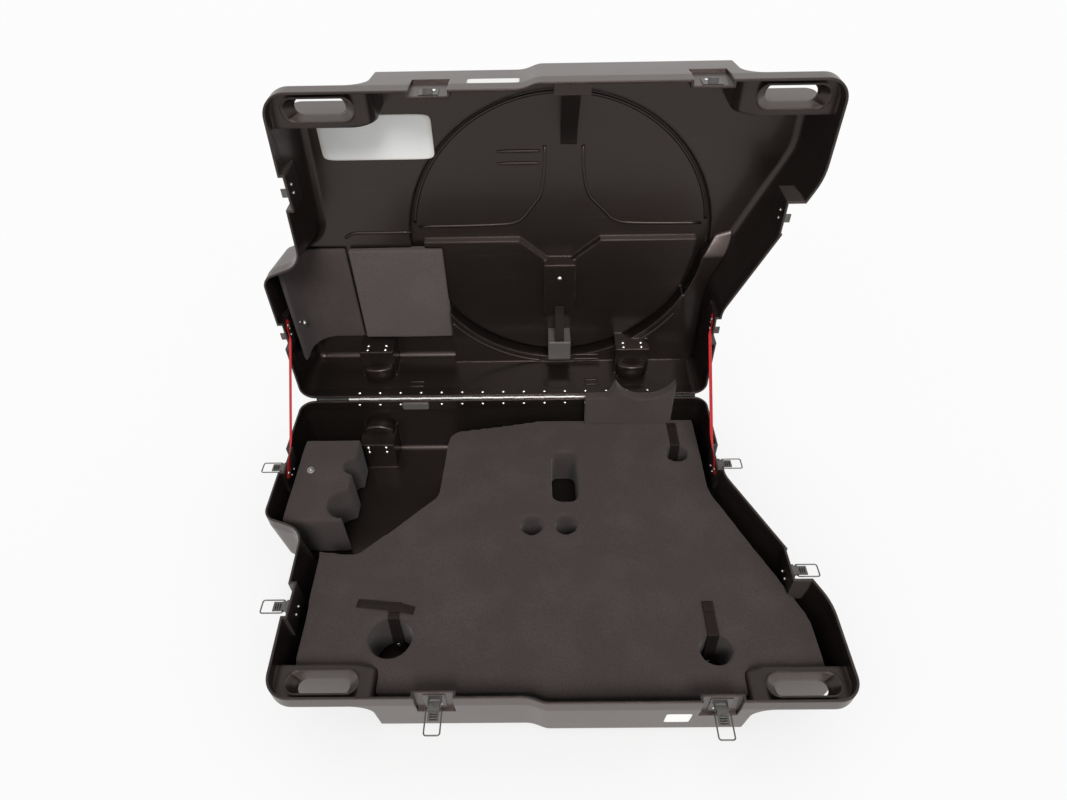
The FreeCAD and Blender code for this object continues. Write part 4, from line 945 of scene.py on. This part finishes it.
class CASE_OT_shells(CaseStep):
    """Finish the two moulded shells and the blocks that hold the lid's straps."""

    bl_idname = "case.shells"
    bl_label = "Shells"

    def execute(self, context):
        tones, sizes = self.colours, self.sizes
        for node, middle in SHELL_MIDDLES.items():
            plastic = moulded_plastic(
                node + "_plastic", tones.shell, tones.shell_pale, sizes.edge_radius,
                outer=tones.shell_outside_painted_light, middle=middle,
            )
            finish_nodes((node,), plastic)
        pale = solid(tones.block, strength=1.6)[:3]
        grey = moulded_plastic("strap_block_grey", tones.block, pale, sizes.edge_radius)
        finish_nodes(("strap_block",), grey)
        trim = moulded_plastic("anchor_plastic", tones.shell, tones.shell_pale, sizes.trim_radius)
        finish_nodes(("strap_anchor",), trim)
        return {"FINISHED"}


class CASE_OT_mouldings(CaseStep):
    """Add the lines, bars, raised corner and caster covers that are moulded on the lid and the base."""

    bl_idname = "case.mouldings"
    bl_label = "Mouldings"

    def execute(self, context):
        tones, sizes = self.colours, self.sizes
        plastic = moulded_plastic("moulded_trim", tones.shell, tones.shell_pale, sizes.trim_radius)
        pale = solid(tones.block, strength=1.6)[:3]
        grey = moulded_plastic("grey_trim", tones.block, pale, sizes.trim_radius)
        lines = [arc(WELL_MIDDLE, WELL_LINE_RADIUS, *WELL_LINE_ANGLES, WELL_LEVEL, steps=120)]
        lines += [arc(WELL_MIDDLE, RIM_LINE_RADIUS, *angles, PLATFORM_LEVEL) for angles in RIM_LINE_ANGLES]
        lines += [
            lid_route(PANEL_LEVEL, LEDGE_LINE),
            lid_route(WELL_LEVEL, LEFT_CHANNEL_LINE),
            lid_route(WELL_LEVEL, RIGHT_CHANNEL_LINE),
        ]
        patches = [bead(line, -Y_WAY, sizes.bead_width, sizes.bead_height) for line in lines]
        for middle, size in LID_BARS:
            patches.append(pillow(np.array(middle) * MM, np.array(size) * MM, WAYS, BAR_POWER))
        build("lid_mouldings", patches, plastic, "lid")
        build("lid_corner", raised_corner(), plastic, "lid")
        bars = [pillow(np.array(middle) * MM, np.array(size) * MM, WAYS) for middle, size in BASE_BARS]
        build("base_bumper", bars, grey, "base")
        cover = (sizes.drum_width, sizes.drum_bulge, sizes.drum_height)
        for name, body, back, forward, up in DRUMS:
            build(name, [drum(np.array(back) * MM, *cover, forward, up)], plastic, body)
        return {"FINISHED"}


class CASE_OT_labels(CaseStep):
    """Add the three blank stickers: one in the lid and one on each half's front band."""

    bl_idname = "case.labels"
    bl_label = "Blank labels"

    def execute(self, context):
        paper = blank_paper("blank_label", self.colours.label)
        for name, body, middle, size, tilt, facing in LABELS:
            lean = math.radians(tilt)
            if facing == "up":
                ways = (X_WAY, np.array((0, math.cos(lean), -math.sin(lean))))
            else:
                ways = (X_WAY, np.array((0, -math.sin(lean), math.cos(lean))))
            ways += (np.cross(*ways),)
            full = np.array((*size, self.sizes.label_thickness / MM)) * MM
            build(name, [plate(np.array(middle) * MM, full, ways)], paper, body)
        return {"FINISHED"}


class CASE_OT_foam(CaseStep):
    """Replace each foam solid by a soft closed form with rounded cut edges."""

    bl_idname = "case.foam"
    bl_label = "Foam"

    def execute(self, context):
        tones, sizes = self.colours, self.sizes
        dark = cut_foam("cut_foam", tones.foam, tones.foam_pale)
        grey = cut_foam("pad_foam", tones.pad_foam, solid(tones.pad_foam, strength=1.25)[:3])
        rows = (
            ("base_foam", "foam_floor", sizes.foam_cell, dark, "base"),
            ("bar_foam", "foam_bar_block", sizes.foam_cell, dark, "base"),
            ("saddle_foam", "foam_upright", sizes.sheet_cell, dark, "base"),
            ("lid_liner", "foam_liner", sizes.sheet_cell, dark, "lid"),
            ("lid_pad", "foam_lid_pad", sizes.sheet_cell, grey, "lid"),
        )
        for node, name, cell, material, body in rows:
            piece = soft_copy(node, name, cell, sizes.foam_soften)
            swell(piece, sizes.foam_swell, sizes.foam_wave)
            piece.data.materials.append(material)
            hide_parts(node)
            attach(piece, body)
        return {"FINISHED"}


class CASE_OT_stays(CaseStep):
    """Replace the two stays by twisted red webbing."""

    bl_idname = "case.stays"
    bl_label = "Stays"

    def execute(self, context):
        sizes = self.sizes
        seam = STAY_SEAM_SHARE * sizes.stay_width
        red = woven_webbing("red_webbing", self.colours.stay, STAY_YARN, gloss=0.55, seam=seam)
        margin = (sizes.stay_width / 2 + sizes.stay_end) * math.cos(math.pi / 4)
        for node, inward in (("left_stay", 1), ("right_stay", -1)):
            low, high = span(node)
            wall = low[0] if inward > 0 else high[0]
            first = np.array((wall, low[1] + margin, low[2] + margin))
            last = np.array((wall, high[1] - margin, high[2] - margin))
            run = np.linalg.norm(last - first)
            far = sizes.stay_end / run
            step = np.linspace(-far, 1 + far, 90)
            rise = (step - STAY_TWIST_SHARES[0]) / STAY_TWIST_SHARES[1]
            fall = (STAY_UNTWIST_SHARES[0] - step) / STAY_UNTWIST_SHARES[1]
            twist = sizes.stay_twist * ease(rise) * ease(fall)
            flat = np.cross(X_WAY, (last - first) / run)
            across = np.cos(twist)[:, None] * flat + np.sin(twist)[:, None] * X_WAY * inward
            lift = sizes.stay_thickness / 2 + np.abs(np.sin(twist)) * sizes.stay_width / 2
            path = first + step[:, None] * (last - first) + lift[:, None] * X_WAY * inward
            patches = [band(path, across, sizes.stay_width, sizes.stay_thickness)]
            piece = build(node + "_webbing", patches, red, None)
            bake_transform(piece)
            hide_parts(node)
        return {"FINISHED"}


class CASE_OT_straps(CaseStep):
    """Replace the black straps of both halves by woven webbing, and add the floor straps' bolts."""

    bl_idname = "case.straps"
    bl_label = "Straps"

    def execute(self, context):
        sizes = self.sizes
        thick, wide = sizes.strap_thickness, sizes.frame_strap_width
        tone = self.colours.webbing
        black = woven_webbing("black_webbing", tone, STRAP_YARN, gloss=0.62, seam=STRAP_SEAM)
        for node, name, order, runs, sag in LID_STRAPS:
            low, high = span(node)
            middle = (low + high) / 2
            upper, lower = (low[1] + thick, high[1] - thick)[::order]
            route = [(upper, high[2]), (upper, high[2] - runs[0] * MM)]
            if sag:
                route.append((middle[1] + sag * MM, middle[2]))
            route += [(lower, low[2] + runs[1] * MM), (lower, low[2])]
            path = smooth_route([(middle[0], *place) for place in route], steps=12)
            piece = build(name, [band(path, X_WAY, high[0] - low[0], thick)], black, "lid")
            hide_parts(node)
        patches = []
        bolts = []
        level = (FOAM_TOP + thick) / MM
        for (x, y), radius, lie in FRAME_STRAPS:
            edge = y + radius
            end = edge + lie
            route = [(end, level), (end - FRAME_STRAP_RUN, level)]
            route += [(edge + away, level + up) for away, up in FRAME_STRAP_BEND]
            route += [(edge + away, height) for away, height in FRAME_STRAP_DROP]
            hem = [(end + back, level + thick / MM) for back in FRAME_STRAP_HEM]
            for places, steps in ((route, 12), (hem, 8)):
                corners = np.array([(x, *place) for place in places], float) * MM
                patches.append(band(smooth_route(corners, steps), X_WAY, wide, thick))
            bolts.append(np.array((x, edge + FRAME_STRAP_BOLT[0], FRAME_STRAP_BOLT[1])) * MM)
        cross = smooth_route(np.array(CROSS_STRAP) * MM, steps=10)
        patches.append(band(cross, Y_WAY, sizes.cross_strap_width, thick))
        piece = build("frame_webbing", patches, black, "base")
        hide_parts("frame_straps")
        head = dome_profile(BOLT_SHARE * sizes.rivet_radius, BOLT_SHARE * sizes.rivet_height)
        bright = plated_metal("strap_bolt_steel", self.colours.bright, gloss=0.16, radius=HEAD_EDGE)
        build("strap_bolts", [revolve(head, bolt, -Y_WAY) for bolt in bolts], bright, "base")
        return {"FINISHED"}


class CASE_OT_latches(CaseStep):
    """Finish the draw latches and their keepers, and add their rivet heads and the ribs on the levers."""

    bl_idname = "case.latches"
    bl_label = "Latches"

    def execute(self, context):
        sizes = self.sizes
        steel = plated_metal("latch_steel", self.colours.latch, gloss=0.26, radius=STEEL_EDGE)
        for part in ("latch_plate", "lever", "bail", "keeper"):
            finish_nodes([f"{name}_{part}" for name in LATCH_NAMES], steel)
        bright = plated_metal("latch_heads", self.colours.bright, gloss=0.16, radius=HEAD_EDGE)
        head = dome_profile(sizes.rivet_radius, sizes.rivet_height)
        plate_heads = []
        keeper_heads = []
        for name in LATCH_NAMES:
            out, along = wall_ways(name, -Y_WAY, Y_WAY)
            keeper_out, keeper_along = wall_ways(name, Z_WAY, Z_WAY)
            for node, foot, face, up, rise, heads in (
                (name + "_latch_plate", Z_WAY, out, along, sizes.plate_rivet_rise, plate_heads),
                (name + "_keeper", Y_WAY, keeper_out, keeper_along, sizes.keeper_rivet_rise, keeper_heads),
            ):
                low, high = span(node)
                middle = (low + high) / 2
                seat = np.where(face > 0, low, np.where(face < 0, high, middle))
                seat = np.where(foot > 0, low, seat) + foot * rise + face * sizes.plate_thickness
                for side in (-1, 1):
                    heads.append(revolve(head, seat + up * side * sizes.rivet_spread, face))
            low, high = span(name + "_lever")
            tip = np.where(out > 0, high, np.where(out < 0, low, (low + high) / 2))
            tip = np.where(Z_WAY > 0, high, tip)
            grip, ways = np.array(GRIP_SIZE) * MM, (out, along, Z_WAY)
            ribs = [
                pillow(tip - out * inset * MM, grip, ways, GRIP_POWER, steps=(8, 20)) for inset in GRIP_INSETS
            ]
            build(name + "_lever_grip", ribs, steel, name + "_lever")
        build("plate_heads", plate_heads, bright, "base")
        build("keeper_heads", keeper_heads, bright, "lid")
        return {"FINISHED"}


class CASE_OT_hinge(CaseStep):
    """Finish the long hinge and every bright head, and add the foam's washers and the hinge's end seals."""

    bl_idname = "case.hinge"
    bl_label = "Hinge and heads"

    def execute(self, context):
        tones, sizes = self.colours, self.sizes
        rolled = plated_metal("rolled_hinge", tones.hinge, gloss=0.36, radius=HEAD_EDGE)
        finish_nodes(("base_hinge_leaf", "lid_hinge_leaf", "hinge_pin"), rolled)
        bright = plated_metal("bright_heads", tones.bright, gloss=0.14, radius=HEAD_EDGE)
        heads = ["base_hinge_rivets", "lid_hinge_rivets", "latch_rivets", "keeper_rivets"]
        heads += ["base_caster_screws", "lid_caster_screws", "base_studs", "lid_studs"]
        finish_nodes(heads, bright)
        dull = plated_metal("dull_washer", tones.steel, gloss=0.34, radius=HEAD_EDGE)
        disc = dome_profile(sizes.foam_washer_radius, sizes.washer_height)
        washer = revolve(disc, np.array(BAR_WASHER) * MM, Z_WAY, steps=32)
        build("bar_washer", [washer], dull, "base")
        disc = dome_profile(sizes.liner_washer_radius, sizes.liner_washer_height)
        washer = revolve(disc, np.array(LINER_WASHER) * MM, X_WAY, steps=32)
        build("liner_washer", [washer], bright, "lid")
        low, high = span("hinge_pin")
        gaps = (
            (WALL_ENDS[0], low[0] - sizes.seal_margin),
            (high[0] + sizes.seal_margin, WALL_ENDS[1]),
        )
        across = 2 * sizes.seal_radius
        beads = []
        for first, last in gaps:
            route = np.linspace((first, *PIN_LINE), (last, *PIN_LINE), 12)
            beads.append(band(route, Z_WAY, across, across, power=ROUND_POWER))
        build("hinge_end_seals", beads, tread_rubber("seal_rubber", tones.rubber), "base")
        return {"FINISHED"}


class CASE_OT_casters(CaseStep):
    """Finish the casters and add the caps on their hubs."""

    bl_idname = "case.casters"
    bl_label = "Casters"

    def execute(self, context):
        tones, sizes = self.colours, self.sizes
        steel = plated_metal("caster_steel", tones.steel, gloss=0.32, radius=STEEL_EDGE)
        rubber = tread_rubber("caster_rubber", tones.rubber)
        finish_nodes([name + "_fork" for name in CASTER_NAMES], steel)
        finish_nodes(("base_caster_axles", "lid_caster_axles"), steel)
        finish_nodes([name + "_wheel" for name in CASTER_NAMES], rubber)
        pale = solid(tones.hub, strength=1.5)[:3]
        grey = moulded_plastic("caster_hub", tones.hub, pale, sizes.trim_radius)
        bore, rim, rise = sizes.hub_bore, sizes.hub_radius, sizes.hub_rise
        dish = HUB_DISH_SHARE * rise
        lip = [bore + part * rim for part in HUB_LIP_SHARES]
        ring = [part * rim for part in HUB_RING_SHARES]
        profile = ((bore, 0), (bore, rise), (lip[0], rise), (lip[1], dish), (ring[0], dish))
        profile += ((ring[1], rise), (ring[2], rise), (rim, 0), (bore, 0))
        for name in CASTER_NAMES:
            low, high = span(name + "_wheel")
            middle = (low + high) / 2
            sides = [
                revolve(profile, np.array((high[0], middle[1], middle[2])), X_WAY, steps=40),
                revolve(profile, np.array((low[0], middle[1], middle[2])), -X_WAY, steps=40),
            ]
            build(name + "_hub_caps", sides, grey, name + "_wheel")
        return {"FINISHED"}


class CASE_OT_stage(CaseStep):
    """Add the floor, the light and the camera."""

    bl_idname = "case.stage"
    bl_label = "Stage"

    def execute(self, context):
        stage = context.scene.case_stage
        reach = stage.floor_reach
        grid = np.linspace(-reach, reach, 9)
        across, away = np.meshgrid(grid, grid, indexing="ij")
        points = np.stack([across, away, 0 * across], -1)
        white = pale_floor("floor", self.colours.floor, stage.floor_lift)
        floor = build("floor", [(points, points[..., :2])], white, None)
        world = bpy.data.worlds.new("studio")
        world.use_nodes = True
        context.scene.world = world
        nodes = Nodes(world.node_tree)
        strength = stage.sky + seen_rays(nodes) * (1 - stage.sky)
        back = world.node_tree.nodes["Background"]
        nodes.feed(back.inputs["Color"], WHITE)
        nodes.feed(back.inputs["Strength"], strength)
        lamp = bpy.data.lights.new("main_light", "SUN")
        lamp.energy = stage.sun
        lamp.angle = stage.sun_angle
        sun = bpy.data.objects.new("main_light", lamp)
        sun.rotation_mode = "QUATERNION"
        sun.rotation_quaternion = Vector(SUN_WAY).to_track_quat("Z", "Y")
        context.scene.collection.objects.link(sun)
        lens = bpy.data.cameras.new("camera")
        lens.lens = stage.lens
        camera = bpy.data.objects.new("camera", lens)
        camera.location = stage.eye
        camera.rotation_mode = "QUATERNION"
        turn = Quaternion((0, 0, 1), stage.yaw) @ Quaternion((1, 0, 0), stage.pitch)
        camera.rotation_quaternion = turn @ Quaternion((0, 0, 1), stage.roll)
        context.scene.collection.objects.link(camera)
        context.scene.camera = camera
        context.scene.view_settings.view_transform = "Standard"
        return {"FINISHED"}


STEPS = (
    CASE_OT_shells,
    CASE_OT_mouldings,
    CASE_OT_labels,
    CASE_OT_foam,
    CASE_OT_stays,
    CASE_OT_straps,
    CASE_OT_latches,
    CASE_OT_hinge,
    CASE_OT_casters,
    CASE_OT_stage,
)


class CASE_PT_panel(bpy.types.Panel):
    """Lists the steps that dress the case."""

    bl_idname = "CASE_PT_panel"
    bl_label = "Travel case"
    bl_space_type = "VIEW_3D"
    bl_region_type = "UI"
    bl_category = "Travel case"

    def draw(self, context):
        for step in STEPS:
            self.layout.operator(step.bl_idname)


GROUPS = {"case_colours": CaseColours, "case_sizes": CaseSizes, "case_stage": CaseStage}


def register():
    """Register the settings, the steps and the panel."""
    for name, group in GROUPS.items():
        bpy.utils.register_class(group)
        setattr(bpy.types.Scene, name, PointerProperty(type=group))
    for step in STEPS:
        bpy.utils.register_class(step)
    bpy.utils.register_class(CASE_PT_panel)


def unregister():
    """Take everything back."""
    bpy.utils.unregister_class(CASE_PT_panel)
    for step in reversed(STEPS):
        bpy.utils.unregister_class(step)
    for name, group in GROUPS.items():
        delattr(bpy.types.Scene, name)
        bpy.utils.unregister_class(group)


def main():
    """Dress the case step by step."""
    register()
    for step in STEPS:
        group, name = step.bl_idname.split(".")
        getattr(getattr(bpy.ops, group), name)()


if __name__ == "__main__":
    main()
